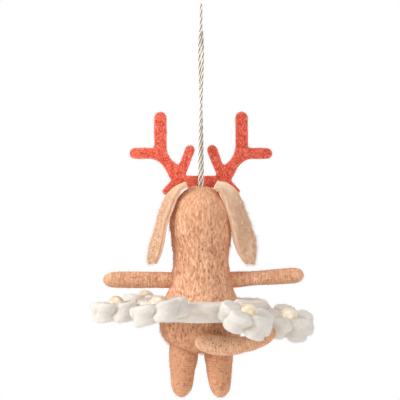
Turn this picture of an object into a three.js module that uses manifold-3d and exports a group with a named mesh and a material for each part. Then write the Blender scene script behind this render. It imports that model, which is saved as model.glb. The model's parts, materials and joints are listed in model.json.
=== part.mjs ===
// A felted wool dog doll with red antlers and a garland skirt, hanging on a twisted cord.
// Millimetres, +Z up. The face looks towards -Y and the doll's left hand points towards +X.
// The origin is the inner top of the hanging loop.

import * as THREE from 'three';
import { mergeVertices } from 'three/addons/utils/BufferGeometryUtils.js';
import Module from 'manifold-3d';

const wasm = await Module();
wasm.setup();

// Fits and cuts
const clearance = 0.3; // gap kept between pieces that touch
const overrun = 2; // how far a cutter runs past the face that it opens
const weldGap = 0.0005;

// Head and torso, one felted form
const crownDrop = 75.8; // from the loop's inner top down to the crown
const bodyHeight = 70.8;
const headWidth = 26.8;
const headDepth = 25;
const neckWidth = 22.9;
const neckDepth = 20.5;
const chestWidth = 24.6;
const chestDepth = 21.5;
const hipWidth = 35.2;
const hipDepth = 30;
const bodySides = 24;

// Face
const muzzleWidth = 12.4;
const muzzleHeight = 9.6;
const muzzleDepth = 15;
const muzzleLevel_share = 0.27; // of the body's height, below the crown
const noseWidth = 5.2;
const noseHeight = 3.8;
const noseDepth = 3.6;
const eyeDiameter = 3;
const eyeSpacing = 11;
const eyeLevel_share = 0.19;
const eyeShankDiameter = 1.2;
const eyeShankLength = 4;

// Antler headband, a flat cut-out
const antlerSpan = 60.9;
const antlerHeight = 32.2; // from the band's lower edge to the highest tip
const feltThickness = 2.6;
const tineWidth = 5.25;
const antlerSweep = 5; // how far the tips lean to the front
const bandSink = 0.8; // how far the band sits down into the crown
const bandStandoff = 2.3; // from the cord's axis forward to the band's back face

// Ears
const earReach = 13.1;
const earDrop = 31.6;
const earWidth = 11;
const earRootOut = 7.6;
const earRootBack = 4;
const earSink = 0.6; // of the root's middle below the crown
const furThickness = 1.4;
const liningThickness = 0.7;
const earLayerGap = 0.5; // between the fur fabric and its lining
const leftEarAngle = 72;
const rightEarAngle = 45;

// Arms
const shoulderLevel_share = 0.562;
const shoulderOut = 12;
const leftArmLength = 29.3; // from the shoulder's centre to the tip
const rightArmLength = 31.5;
const shoulderDiameter = 6.8;
const wristDiameter = 6.6;
const rightArmAngle = 3.8;
const armForwardAngle = 60;
const armBackAngle = 30;

// Legs
const hipLevel_share = 0.942;
const hipOut = 7.2;
const legLength = 22.6; // from the hip's centre to the sole
const thighDiameter = 12.4;
const kneeDiameter = 10.7;
const ankleDiameter = 9.3;
const footDepth = 5.6; // of the round end
const legSplayAngle = 3;
const legForwardAngle = 30;
const legBackAngle = 15;

// Tail
const tailLevel_share = 0.915;
const tailRootBack = 12.4;
const tailRootRight = 1.5;
const tailReach = 28.4;
const tailStandoff = 9.2;
const tailLift = 5.8;
const tailRootDiameter = 8;
const tailTipDiameter = 2.6;
const tailDownAngle = 45;
const tailUpAngle = 5;

// Wire cores
const wireDiameter = 1.2;
const wireEndMargin = 3.5; // wool past the wire's end
const hipWireRise = 5; // of the bow over the legs
const hipBowShares = [[1, 0], [0.94, 0.6], [0.6, 0.95], [0, 1], [-0.6, 0.95], [-0.94, 0.6], [-1, 0]];
const tailWireStart_share = 0.02; // of the tail's length
const tailWireEnd_share = 0.7;
const tailAnchorLength = 3;

// Cord, its knot and its hole
const cordDiameter = 1.15;
const cordHoleDiameter = 3.3;
const knotDiameter = 5.4;
const knotDrop = 84.2; // from the loop's inner top down to the knot's middle
const cordSteps = 72;

// Garland skirt
const skirtLevel_share = 0.7373; // of the body's height, below the crown
const ringDiameter = 56.4;
const skirtHeight = 7.8; // both layers
const layerGap = 0.3;
const feltEdge = 1.1; // rounding of the cut felt's edges
const flowerDiameter = 23;
const petalCount = 5;
const petalDiameter_share = 0.44; // of the flower's diameter
const flowerSeat_share = 0.37; // centre to ring, of the flower's diameter

// Pearl beads
const pearlDiameter = 8.3;
const pearlSink = 1.5; // of the bead's centre below the flower's face
const beadBoreDiameter = 1.1;
const threadDiameter = 0.5;

// Flowers: angle from the doll's back, droop, twist, lift in skirt heights, petal turn, size share
const flowerShares = [
  [30.5, 25, -8, 0.2, 10, 1.03],
  [82, 12, 20, -0.48, 32, 1.01],
  [135, 25, 0, -0.13, 0, 0.96],
  [180, 5, 0, 0, 36, 0.96],
  [-137, 0, 6, 0.06, 20, 0.9],
  [-79, 3, 0, 0, 43, 0.94],
  [-27, 4, 12, 0.2, 53, 1.06],
];

// One half of the cord, from the knot up to the side of the loop's eye. The other half is its half turn.
const cordHalf = [
  [0.725, 0, -81.2],
  [0.725, 0, -76.4],
  [0.66, 0.3, -66.5],
  [0.45, 0.57, -56],
  [0.1, 0.72, -44.5],
  [-0.25, 0.68, -35.5],
  [-0.53, 0.5, -28],
  [-0.71, 0.15, -21],
  [-0.68, -0.3, -16.5],
  [-0.43, -0.68, -12.5],
  [-0.1, -1.1, -9],
  [0, -1.8, -6],
  [0, -2.35, -3.6],
  [0, -2.42, -1.6],
  [0, -1.75, -0.15],
];
const cordTop = [0, 0, 0.575];

const deg = THREE.MathUtils.degToRad;
const vec = (x, y, z) => new THREE.Vector3(x, y, z);
const crownLevel = -crownDrop;
const levelAt = (share) => crownLevel - share * bodyHeight;
const half = (size) => size / 2;

// Solids and cuts

function solidOf(geometry) {
  const bare = new THREE.BufferGeometry();
  bare.setAttribute('position', geometry.getAttribute('position').clone());
  if (geometry.index) bare.setIndex(geometry.index.clone());
  const welded = mergeVertices(bare, weldGap);
  const place = welded.getAttribute('position');
  const corners = [];
  let volume = 0;
  for (let i = 0; i < welded.index.count; i += 3) {
    const [a, b, c] = [0, 1, 2].map((k) => welded.index.getX(i + k));
    if (a === b || b === c || c === a) continue;
    corners.push(a, b, c);
    const [p, q, r] = [a, b, c].map((k) => vec(0, 0, 0).fromBufferAttribute(place, k));
    volume += p.dot(q.cross(r));
  }
  if (volume < 0) corners.reverse();
  const vertProperties = Float32Array.from(place.array);
  const triVerts = Uint32Array.from(corners);
  return new wasm.Manifold(new wasm.Mesh({ numProp: 3, vertProperties, triVerts }));
}

function geometryOf(solid) {
  const { vertProperties, triVerts } = solid.getMesh();
  const geometry = new THREE.BufferGeometry();
  geometry.setAttribute('position', new THREE.BufferAttribute(Float32Array.from(vertProperties), 3));
  geometry.setIndex(new THREE.BufferAttribute(Uint32Array.from(triVerts), 1));
  geometry.computeVertexNormals();
  return geometry;
}

function cut(geometry, ...cutters) {
  let solid = solidOf(geometry);
  for (const cutter of cutters) solid = solid.subtract(solidOf(cutter));
  return geometryOf(solid);
}

function join(...geometries) {
  return geometryOf(geometries.map(solidOf).reduce((whole, solid) => whole.add(solid)));
}

// The same form with its faces turned outwards.
const outward = (geometry) => geometryOf(solidOf(geometry));
const moved = (geometry, matrix) => geometry.clone().applyMatrix4(matrix);

// Basic forms

// A felted form of elliptical rings, from rows of [level, half width, half depth].
function swollenForm(rows, sides) {
  const profile = rows.map(([level, halfWidth]) => new THREE.Vector2(halfWidth, level));
  const form = new THREE.LatheGeometry(profile, sides);
  form.rotateX(Math.PI / 2);
  const place = form.getAttribute('position');
  for (let i = 0; i < place.count; i += 1) {
    const [, halfWidth, halfDepth] = rows[i % rows.length];
    if (halfWidth > 0) place.setY(i, (place.getY(i) * halfDepth) / halfWidth);
  }
  return form;
}

function ovalForm(width, depth, height, extra, sides) {
  const form = new THREE.SphereGeometry(1, sides, half(sides));
  form.rotateX(Math.PI / 2);
  form.scale(half(width) + extra, half(depth) + extra, half(height) + extra);
  return form;
}

// A limb along +Y: a ball end round its joint, girths as [share of the length, radius], a round tip.
function limbForm(ballRadius, girthShares, tipRadius, tipDepth, length, sides) {
  const arcSteps = 4;
  const profile = [];
  for (let i = 0; i <= arcSteps; i += 1) {
    const angle = ((i / arcSteps - 1) * Math.PI) / 2;
    const radius = i === 0 ? 0 : ballRadius * Math.cos(angle);
    profile.push(new THREE.Vector2(radius, ballRadius * Math.sin(angle)));
  }
  for (const [share, radius] of girthShares) profile.push(new THREE.Vector2(radius, share * length));
  for (let i = 0; i <= arcSteps; i += 1) {
    const angle = ((i / arcSteps) * Math.PI) / 2;
    const radius = i === arcSteps ? 0 : tipRadius * Math.cos(angle);
    profile.push(new THREE.Vector2(radius, length - tipDepth + tipDepth * Math.sin(angle)));
  }
  return new THREE.LatheGeometry(profile, sides);
}

function rod(diameter, length, sides = 8) {
  return new THREE.CylinderGeometry(half(diameter), half(diameter), length, sides);
}

// A round tube along a curve, of one thickness.
function tube(curve, diameter, steps, sides) {
  const section = new THREE.Shape();
  for (let i = 0; i < sides; i += 1) {
    const angle = (i / sides) * 2 * Math.PI;
    const [x, y] = [half(diameter) * Math.cos(angle), half(diameter) * Math.sin(angle)];
    if (i === 0) section.moveTo(x, y);
    else section.lineTo(x, y);
  }
  section.closePath();
  return new THREE.ExtrudeGeometry(section, { steps, extrudePath: curve, curveSegments: 1 });
}

// A round form along a curve whose radius changes with the share of its length.
function taperedTube(curve, radiusAt, rings, sides, up) {
  const form = new THREE.CylinderGeometry(1, 1, 1, sides, rings);
  const place = form.getAttribute('position');
  for (let i = 0; i < place.count; i += 1) {
    const share = THREE.MathUtils.clamp(place.getY(i) + half(1), 0, 1);
    const tangent = curve.getTangentAt(share);
    const across = up.clone().cross(tangent).normalize();
    const rise = tangent.clone().cross(across);
    const point = curve.getPointAt(share);
    point.addScaledVector(across, place.getX(i) * radiusAt(share));
    point.addScaledVector(rise, place.getZ(i) * radiusAt(share));
    place.setXYZ(i, point.x, point.y, point.z);
  }
  return form;
}

// Linear reading of a table of [share, value].
function readTable(table, share) {
  const next = Math.max(1, table.findIndex(([at]) => at >= share));
  const [[from, low], [to, high]] = [table[next - 1], table[next]];
  return THREE.MathUtils.mapLinear(share, from, to, low, high);
}

// A round socket for a limb's ball end, with room for its stem at each angle about the joint's axis.
function socketCutters(centre, diameter, direction, axis, angles) {
  const sides = 12;
  const flat = Math.cos(Math.PI / sides);
  const radius = half(diameter) + clearance;
  const ball = new THREE.SphereGeometry(radius / flat ** 2, sides, half(sides));
  const stems = angles.map((angle) => {
    const stem = new THREE.CylinderGeometry(radius / flat, radius / flat, diameter, sides);
    stem.translate(0, half(diameter), 0);
    stem.applyQuaternion(new THREE.Quaternion().setFromUnitVectors(vec(0, 1, 0), direction));
    return stem.applyQuaternion(new THREE.Quaternion().setFromAxisAngle(axis, deg(angle)));
  });
  return [ball, ...stems].map((cutter) => cutter.translate(...centre.toArray()));
}

// Materials

const material = (color, roughness, metalness = 0) =>
  new THREE.MeshStandardMaterial({ color, roughness, metalness });
const tanFelt = material(0xdca585, 0.95);
const redFelt = material(0xe2604f, 0.95);
const whiteFelt = material(0xe6e1d6, 0.95);
const earFur = material(0xe2b698, 0.95);
const earLining = material(0xe0b29a, 0.9);
const cordCotton = material(0xd9d1c6, 0.85);
const pearl = material(0xe9dcc4, 0.22);
const darkBead = material(0x231a16, 0.2);
const steelWire = material(0x8d8f92, 0.4, 0.9);
const sewingThread = material(0xefe9dc, 0.8);

const group = new THREE.Group();
group.name = 'felt_dog_ornament';

function addPiece(name, geometry, finish, parent = group) {
  const mesh = new THREE.Mesh(geometry, finish);
  mesh.name = name;
  parent.add(mesh);
  return mesh;
}

function addFrame(position, rotation, parent = group) {
  const frame = new THREE.Group();
  frame.position.copy(position);
  frame.rotation.copy(rotation);
  parent.add(frame);
  frame.updateWorldMatrix(true, false);
  return frame;
}

// Body rows: share of the height below the crown, the named girth that it follows, share of that girth

const girths = {
  head: [headWidth, headDepth],
  neck: [neckWidth, neckDepth],
  chest: [chestWidth, chestDepth],
  hip: [hipWidth, hipDepth],
};
const bodyShares = [
  [0, 'head', 0],
  [0.014, 'head', 0.36],
  [0.04, 'head', 0.6],
  [0.086, 'head', 0.81],
  [0.145, 'head', 0.94],
  [0.216, 'head', 1],
  [0.294, 'head', 0.955],
  [0.353, 'neck', 1.04],
  [0.412, 'neck', 1],
  [0.5, 'chest', 0.97],
  [0.562, 'chest', 1],
  [0.614, 'chest', 1.08],
  [0.679, 'hip', 0.885],
  [0.75, 'hip', 0.96],
  [0.833, 'hip', 1],
  [0.893, 'hip', 0.93],
  [0.941, 'hip', 0.8],
  [0.976, 'hip', 0.57],
  [0.993, 'hip', 0.3],
  [1, 'hip', 0],
];

function bodyForm(extra) {
  const rows = bodyShares.map(([share, girth, part]) => {
    const [width, depth] = girths[girth];
    const swell = part > 0 ? extra : 0;
    const ends = share === 0 ? extra : -extra * Math.floor(share);
    return [levelAt(share) + ends, half(width) * part + swell, half(depth) * part + swell];
  });
  return swollenForm(rows.reverse(), bodySides);
}

// Half depth or half width of the body at a share of its height.
function bodyHalf(share, side) {
  const table = bodyShares.map(([at, girth, part]) => [at, half(girths[girth][side]) * part]);
  return readTable(table, share);
}

// Arms

const armGirthShares = [[0.5, half(shoulderDiameter)]];

function armForm(length) {
  const tip = half(wristDiameter);
  const form = limbForm(half(shoulderDiameter), armGirthShares, tip, tip, length, 14);
  return form.rotateZ(-half(Math.PI));
}

function wireBore(length, radius) {
  return rod(wireDiameter + 2 * clearance, length + overrun).translate(0, half(length - overrun) - radius, 0);
}

function addArm(side, name, length, lift) {
  const shoulder = vec(side * shoulderOut, 0, levelAt(shoulderLevel_share));
  const frame = addFrame(shoulder, new THREE.Euler(0, -deg(lift), side < 0 ? Math.PI : 0, 'ZYX'));
  const radius = half(shoulderDiameter);
  const boreLength = length + radius - wireEndMargin;
  const bore = wireBore(boreLength, radius).rotateZ(-half(Math.PI));
  addPiece(`arm_${name}`, cut(armForm(length), bore), tanFelt, frame);
  const wireLength = boreLength - 2 * clearance;
  const wire = rod(wireDiameter, wireLength).translate(0, half(wireLength) - radius + clearance, 0);
  addPiece(`arm_wire_${name}`, wire.rotateZ(-half(Math.PI)), steelWire, frame);
  const direction = vec(side * Math.cos(deg(lift)), 0, Math.sin(deg(lift)));
  const angles = [armForwardAngle, half(armForwardAngle), -armBackAngle];
  return socketCutters(shoulder, shoulderDiameter, direction, vec(0, 0, -side), angles);
}

// Legs

const legGirthShares = [
  [0.2, half(thighDiameter)],
  [0.5, half(kneeDiameter)],
];

function legForm() {
  const form = limbForm(half(thighDiameter), legGirthShares, half(ankleDiameter), footDepth, legLength, 16);
  return form.rotateX(-half(Math.PI));
}

function addLeg(side, name) {
  const hip = vec(side * hipOut, 0, levelAt(hipLevel_share));
  const frame = addFrame(hip, new THREE.Euler(0, -side * deg(legSplayAngle), 0));
  const radius = half(thighDiameter);
  const boreLength = legLength + radius - wireEndMargin;
  const bore = wireBore(boreLength, radius).rotateX(-half(Math.PI));
  addPiece(`leg_${name}`, cut(legForm(), bore), tanFelt, frame);
  const wireLength = boreLength - 2 * clearance;
  const wire = rod(wireDiameter, wireLength).translate(0, half(wireLength) - radius + clearance, 0);
  addPiece(`leg_wire_${name}`, wire.rotateX(-half(Math.PI)), steelWire, frame);
  const direction = vec(side * Math.sin(deg(legSplayAngle)), 0, -Math.cos(deg(legSplayAngle)));
  const angles = [legForwardAngle, half(legForwardAngle), 0, -legBackAngle];
  return socketCutters(hip, thighDiameter, direction, vec(-1, 0, 0), angles);
}

// Tail: its line as shares of its reach, standoff and lift, and its girth along the way

const tailRoot = vec(-tailRootRight, tailRootBack, levelAt(tailLevel_share));
const tailLineShares = [
  [0, 0, 0],
  [0.14, 0.53, -0.17],
  [0.32, 0.8, -0.22],
  [0.5, 0.93, -0.14],
  [0.69, 1, 0.02],
  [0.85, 0.98, 0.24],
  [0.955, 0.91, 0.55],
  [1, 0.85, 1],
];
const tailLine = new THREE.CatmullRomCurve3(
  tailLineShares.map(([right, back, lift]) =>
    vec(-right * tailReach, back * tailStandoff, lift * tailLift).add(tailRoot)),
);
const tailGirthShares = [
  [0, 0.99],
  [0.25, 1],
  [0.45, 0.92],
  [0.7, 0.72],
  [0.86, 0.52],
  [1, 0.33],
];

const tailTipFlat_share = 0.25; // of the tip's radius
const tailStem_share = 0.25; // where the stem leaves the socket, of the tail's length

// The tail's end rounds off over its own radius, and its root is a ball round the joint.
function tailRadius(share) {
  const fromTip = ((1 - share) * tailLine.getLength()) / half(tailTipDiameter);
  const round = Math.sqrt(1 - (1 - Math.min(fromTip, 1)) ** 2);
  return half(tailRootDiameter) * readTable(tailGirthShares, share) * Math.max(round, tailTipFlat_share);
}

function tailForm() {
  const stem = taperedTube(tailLine, tailRadius, 15, 12, vec(0, 0, 1));
  const ball = ovalForm(tailRootDiameter, tailRootDiameter, tailRootDiameter, 0, 12);
  return join(stem, ball.translate(...tailRoot.toArray()));
}

function addTail() {
  const wirePoints = tailLineShares.map((_, i, { length }) => {
    const along = i / (length - 1);
    return tailLine.getPointAt(THREE.MathUtils.lerp(tailWireStart_share, tailWireEnd_share, along));
  });
  const boreEnd_share = tailWireEnd_share + wireDiameter / tailLine.getLength();
  const inward = vec(0, -half(tailRootDiameter) - overrun, 0);
  const boreLine = new THREE.CatmullRomCurve3([
    tailRoot.clone().add(inward),
    tailRoot.clone().addScaledVector(inward, half(1)),
    ...wirePoints,
    tailLine.getPointAt(boreEnd_share),
  ]);
  const bore = tube(boreLine, wireDiameter + 2 * clearance, 14, 6);
  addPiece('tail', cut(tailForm(), bore), tanFelt);
  const wireLine = new THREE.CatmullRomCurve3(wirePoints);
  addPiece('tail_wire', tube(wireLine, wireDiameter, 10, 6), steelWire);
  const direction = tailLine.getPointAt(tailStem_share).sub(tailRoot).normalize();
  const angles = [tailDownAngle, half(tailDownAngle), -tailUpAngle];
  return socketCutters(tailRoot, tailRootDiameter, direction, vec(0, -1, 0), angles);
}

// Wires in the body, each with the bore that it lies in

function addBodyWires() {
  const boreDiameter = wireDiameter + 2 * clearance;
  const shoulderLevel = levelAt(shoulderLevel_share);
  const shoulderReach = 2 * (shoulderOut - half(shoulderDiameter) - 2 * clearance);
  const across = (diameter, length) =>
    rod(diameter, length).rotateZ(half(Math.PI)).translate(0, 0, shoulderLevel);
  addPiece('shoulder_wire', across(wireDiameter, shoulderReach), steelWire);

  const hipTop = levelAt(hipLevel_share) + half(thighDiameter) + 2 * clearance;
  const bow = (drop) => new THREE.CatmullRomCurve3([
    vec(hipOut, 0, hipTop - drop),
    ...hipBowShares.map(([out, up]) => vec(hipOut * out, 0, hipTop + hipWireRise * up)),
    vec(-hipOut, 0, hipTop - drop),
  ]);
  addPiece('hip_wire', tube(bow(half(clearance)), wireDiameter, 14, 6), steelWire);

  const anchorEnd = tailRootBack - half(tailRootDiameter) - 2 * clearance;
  const anchor = (diameter, length) =>
    rod(diameter, length).translate(tailRoot.x, anchorEnd - half(tailAnchorLength), tailRoot.z);
  addPiece('tail_anchor_wire', anchor(wireDiameter, tailAnchorLength), steelWire);

  return [
    across(boreDiameter, shoulderReach + half(shoulderDiameter)),
    tube(bow(overrun), boreDiameter, 14, 6),
    anchor(boreDiameter, tailAnchorLength + 2 * clearance).translate(0, clearance, 0),
    anchor(boreDiameter, tailAnchorLength).translate(0, half(tailRootDiameter), 0),
  ];
}

// Cord and knot

function addCord() {
  const halfLine = cordHalf.map(([x, y, z]) => vec(x, y, z));
  const otherLine = halfLine.map(({ x, y, z }) => vec(-x, -y, z)).reverse();
  const line = new THREE.CatmullRomCurve3([...halfLine, vec(...cordTop), ...otherLine]);
  addPiece('hanging_cord', tube(line, cordDiameter, cordSteps, 8), cordCotton);
  const ball = (extra) =>
    ovalForm(knotDiameter, knotDiameter, knotDiameter, extra, 12).translate(0, 0, -knotDrop);
  addPiece('cord_knot', ball(0), cordCotton);
  const chamber = ball(clearance);
  const holeLength = knotDrop - crownDrop + overrun;
  const hole = rod(cordHoleDiameter, holeLength, 12).rotateX(half(Math.PI));
  return [chamber, hole.translate(0, 0, half(holeLength) - knotDrop)];
}

// Antler headband: [share of half the span, share of the height, corner radius as a share of a tine's width]

const antlerShares = [
  [0.303, 0, 0],
  [0.506, -0.104, 0.1],
  [0.549, -0.045, 0.1],
  [0.414, 0.093, 0],
  [0.532, 0.299, 0.4],
  [0.644, 0.379, 0.4],
  [1, 0.379, 0.42],
  [1, 0.524, 0.42],
  [0.652, 0.524, 0.2],
  [0.652, 1, 0.48],
  [0.48, 1, 0.48],
  [0.48, 0.49, 0.4],
  [0.426, 0.372, 0.4],
  [0.317, 0.294, 0.12],
  [0.281, 0.359, 0],
  [0.196, 0.577, 0.48],
  [0.066, 0.531, 0.48],
  [0.222, 0.154, 0.1],
];

const cornerRoom_share = 0.49; // of an edge, the most that a corner's rounding takes

function antlerOutline() {
  const right = antlerShares.map(([x, z, round]) =>
    [half(antlerSpan) * x, antlerHeight * z, tineWidth * round]);
  const left = right.map(([x, z, round]) => [-x, z, round]).reverse();
  const corners = [...right, ...left];
  const outline = new THREE.Shape();
  corners.forEach(([x, z, round], i) => {
    const here = new THREE.Vector2(x, z);
    const before = new THREE.Vector2(...corners.at(i - 1)).sub(here);
    const after = new THREE.Vector2(...corners[(i + 1) % corners.length]).sub(here);
    const reach = Math.min(round, before.length() * cornerRoom_share, after.length() * cornerRoom_share);
    const start = here.clone().add(before.setLength(reach));
    const end = here.clone().add(after.setLength(reach));
    if (i === 0) outline.moveTo(start.x, start.y);
    else outline.lineTo(start.x, start.y);
    if (round > 0) outline.quadraticCurveTo(x, z, end.x, end.y);
  });
  outline.closePath();
  return outline;
}

function addHeadband() {
  const sheet = new THREE.ExtrudeGeometry(antlerOutline(), {
    depth: feltThickness,
    bevelEnabled: false,
    curveSegments: 3,
  });
  sheet.rotateX(half(Math.PI));
  const place = sheet.getAttribute('position');
  for (let i = 0; i < place.count; i += 1) {
    const out = place.getX(i) / half(antlerSpan);
    place.setY(i, place.getY(i) - antlerSweep * out * out);
  }
  const frame = addFrame(vec(0, -bandStandoff, crownLevel - bandSink), new THREE.Euler());
  addPiece('antler_headband', sheet, redFelt, frame);
  const slotFoot = crownLevel - bandSink - clearance;
  const slotHeight = bandSink + overrun;
  const slot = new THREE.BoxGeometry(headWidth, feltThickness + 2 * clearance, slotHeight);
  return [slot.translate(0, -bandStandoff - half(feltThickness), slotFoot + half(slotHeight))];
}

// Ears: a flap along a line, made of the fur fabric outside and its lining underneath

const earLineShares = [
  [0, 0],
  [0.206, 0.039],
  [0.412, 0.162],
  [0.58, 0.335],
  [0.718, 0.491],
  [0.824, 0.665],
  [0.939, 0.868],
  [1, 1],
];
const earWidthShares = [
  [0, 0.6],
  [0.2, 0.74],
  [0.5, 0.95],
  [0.72, 1],
  [0.86, 0.86],
  [0.94, 0.58],
  [1, 0.22],
];

function flap(line, across, thickness, offset) {
  const form = new THREE.BoxGeometry(1, 1, 1, 20, 3, 1);
  const place = form.getAttribute('position');
  for (let i = 0; i < place.count; i += 1) {
    const share = THREE.MathUtils.clamp(place.getX(i) + half(1), 0, 1);
    const tangent = line.getTangentAt(share);
    const side = across.clone().addScaledVector(tangent, -across.dot(tangent)).normalize();
    const away = side.clone().cross(tangent).normalize();
    if (away.dot(across.clone().cross(vec(0, 0, 1))) < 0) away.negate();
    const point = line.getPointAt(share);
    point.addScaledVector(side, place.getY(i) * earWidth * readTable(earWidthShares, share));
    point.addScaledVector(away, offset + place.getZ(i) * thickness);
    place.setXYZ(i, point.x, point.y, point.z);
  }
  return outward(form);
}

function addEar(side, name, turn) {
  const root = vec(side * earRootOut, earRootBack, crownLevel - earSink);
  const frame = addFrame(root, new THREE.Euler());
  const line = new THREE.CatmullRomCurve3(
    earLineShares.map(([out, down]) => vec(side * out * earReach, 0, -down * earDrop)),
  );
  const across = vec(-side * Math.cos(deg(turn)), Math.sin(deg(turn)), 0).multiplyScalar(side);
  addPiece(`ear_${name}_fur`, flap(line, across, furThickness, half(furThickness)), earFur, frame);
  const liningOffset = -earLayerGap - half(liningThickness);
  addPiece(`ear_${name}_lining`, flap(line, across, liningThickness, liningOffset), earLining, frame);
}

// Face

function addFace() {
  const muzzleLevel = levelAt(muzzleLevel_share);
  const faceFront = -bodyHalf(muzzleLevel_share, 1);
  const muzzleAt = (extra) => {
    const form = ovalForm(muzzleWidth, muzzleDepth, muzzleHeight, extra, 16);
    return form.translate(0, faceFront, muzzleLevel);
  };
  addPiece('muzzle', cut(muzzleAt(0), bodyForm(clearance)), tanFelt);

  const nose = ovalForm(noseWidth, noseDepth, noseHeight, 0, 12);
  nose.translate(0, faceFront - half(muzzleDepth), muzzleLevel + half(noseHeight));
  addPiece('nose', cut(nose, muzzleAt(clearance)), darkBead);

  const eyeFront = -bodyHalf(eyeLevel_share, 1) * Math.sqrt(1 - (eyeSpacing / headWidth) ** 2);
  const eyeAt = (side, extra) => {
    const ball = ovalForm(eyeDiameter, eyeDiameter, eyeDiameter, extra, 10);
    const shank = rod(eyeShankDiameter + 2 * extra, eyeShankLength + extra);
    const whole = join(ball, shank.translate(0, half(eyeShankLength + extra), 0));
    return whole.translate(side * half(eyeSpacing), eyeFront, levelAt(eyeLevel_share));
  };
  addPiece('eye_left', eyeAt(1, 0), darkBead);
  addPiece('eye_right', eyeAt(-1, 0), darkBead);
  return [eyeAt(1, clearance), eyeAt(-1, clearance)];
}

// Skirt: a ring of two felt layers, and flowers of two layers seated on its edge

const skirtLevel = levelAt(skirtLevel_share);
const layerThickness = half(skirtHeight - layerGap);

function feltLayer(outline, segments) {
  const sheet = new THREE.ExtrudeGeometry(outline, {
    depth: layerThickness - 2 * feltEdge,
    bevelSize: feltEdge,
    bevelThickness: feltEdge,
    bevelOffset: -feltEdge,
    bevelSegments: 1,
    curveSegments: segments,
  });
  return sheet.translate(0, 0, feltEdge);
}

function addRing() {
  const outline = new THREE.Shape();
  outline.absarc(0, 0, half(ringDiameter), 0, 2 * Math.PI);
  const frame = addFrame(vec(0, 0, skirtLevel), new THREE.Euler());
  const waist = bodyForm(clearance).translate(0, 0, -skirtLevel);
  const upper = feltLayer(outline, 18).translate(0, 0, half(layerGap));
  const lower = feltLayer(outline, 18).translate(0, 0, -half(layerGap) - layerThickness);
  addPiece('skirt_ring_upper', cut(upper, waist), whiteFelt, frame);
  addPiece('skirt_ring_lower', cut(lower, waist), whiteFelt, frame);
}

// Petals are arcs that meet in the notches between them.
function flowerOutline(diameter) {
  const radius = half(diameter * petalDiameter_share);
  const out = half(diameter) - radius;
  const step = (2 * Math.PI) / petalCount;
  const notch = Math.asin((out * Math.sin(half(step))) / radius);
  const open = Math.PI - notch - half(step);
  const sweep = Math.PI - open;
  const outline = new THREE.Shape();
  for (let i = 0; i < petalCount; i += 1) {
    const turn = i * step + half(Math.PI);
    const [x, y] = [out * Math.cos(turn), out * Math.sin(turn)];
    outline.absarc(x, y, radius, turn - sweep, turn + sweep);
  }
  return outline;
}

// The thread that holds a bead: down through the felt on both sides and across through the bead.
function threadRods(diameter, reach, top, bottom) {
  const height = top - bottom + half(diameter);
  const legs = [-reach, reach].map((out) =>
    rod(diameter, height, 6).rotateX(half(Math.PI)).translate(out, 0, bottom + half(height)));
  return [...legs, rod(diameter, 2 * reach, 6).rotateZ(half(Math.PI)).translate(0, 0, top)];
}

function addFlower(number, [angle, droop, twist, liftShare, turn, sizeShare]) {
  const diameter = flowerDiameter * sizeShare;
  const spoke = addFrame(vec(0, 0, skirtLevel), new THREE.Euler(0, 0, deg(angle)));
  const edge = addFrame(
    vec(0, half(ringDiameter), liftShare * skirtHeight), new THREE.Euler(-deg(droop), 0, 0), spoke);
  const seat = addFrame(vec(0, diameter * flowerSeat_share, 0), new THREE.Euler(0, deg(twist), 0), edge);

  const ring = new THREE.CylinderGeometry(
    half(ringDiameter) + clearance, half(ringDiameter) + clearance, skirtHeight + 2 * clearance, 36);
  ring.rotateX(half(Math.PI)).translate(0, 0, skirtLevel);
  const ringHere = moved(ring, seat.matrixWorld.clone().invert());

  const pearlLevel = half(skirtHeight) - pearlSink;
  const bead = (extra) => ovalForm(pearlDiameter, pearlDiameter, pearlDiameter, extra, 12)
    .translate(0, 0, pearlLevel);
  const beadBore = rod(beadBoreDiameter, pearlDiameter + overrun, 8).rotateZ(half(Math.PI));
  const threadReach = half(pearlDiameter) + beadBoreDiameter;
  const holeDiameter = threadDiameter + 2 * clearance;
  const threadHoles = threadRods(holeDiameter, threadReach, pearlLevel, -half(skirtHeight) - overrun);
  const thread = threadRods(threadDiameter, threadReach, pearlLevel, -half(skirtHeight));

  const petals = flowerOutline(diameter);
  const layer = (level) => feltLayer(petals, 3).rotateZ(deg(turn)).translate(0, 0, level);
  const cutters = [ringHere, bead(clearance), ...threadHoles];
  addPiece(`flower_${number}_upper`, cut(layer(half(layerGap)), ...cutters), whiteFelt, seat);
  addPiece(
    `flower_${number}_lower`, cut(layer(-half(layerGap) - layerThickness), ...cutters), whiteFelt, seat);
  addPiece(`pearl_${number}`, cut(bead(0), beadBore.translate(0, 0, pearlLevel)), pearl, seat);
  addPiece(`pearl_thread_${number}`, join(...thread), sewingThread, seat);
}

// Assembly

const bodyCuts = [
  ...addCord(),
  ...addHeadband(),
  ...addFace(),
  ...addArm(1, 'left', leftArmLength, 0),
  ...addArm(-1, 'right', rightArmLength, rightArmAngle),
  ...addLeg(1, 'left'),
  ...addLeg(-1, 'right'),
  ...addTail(),
  ...addBodyWires(),
];
addPiece('body', cut(bodyForm(0), ...bodyCuts), tanFelt);
addEar(1, 'left', leftEarAngle);
addEar(-1, 'right', rightEarAngle);
addRing();
flowerShares.forEach((row, i) => addFlower(i + 1, row));

export default group;
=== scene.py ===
import json
import math

import bpy
import numpy as np
from bpy.props import FloatProperty, FloatVectorProperty, IntProperty, PointerProperty
from bpy.types import Operator, Panel, PropertyGroup
from mathutils import Matrix, Vector

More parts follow.
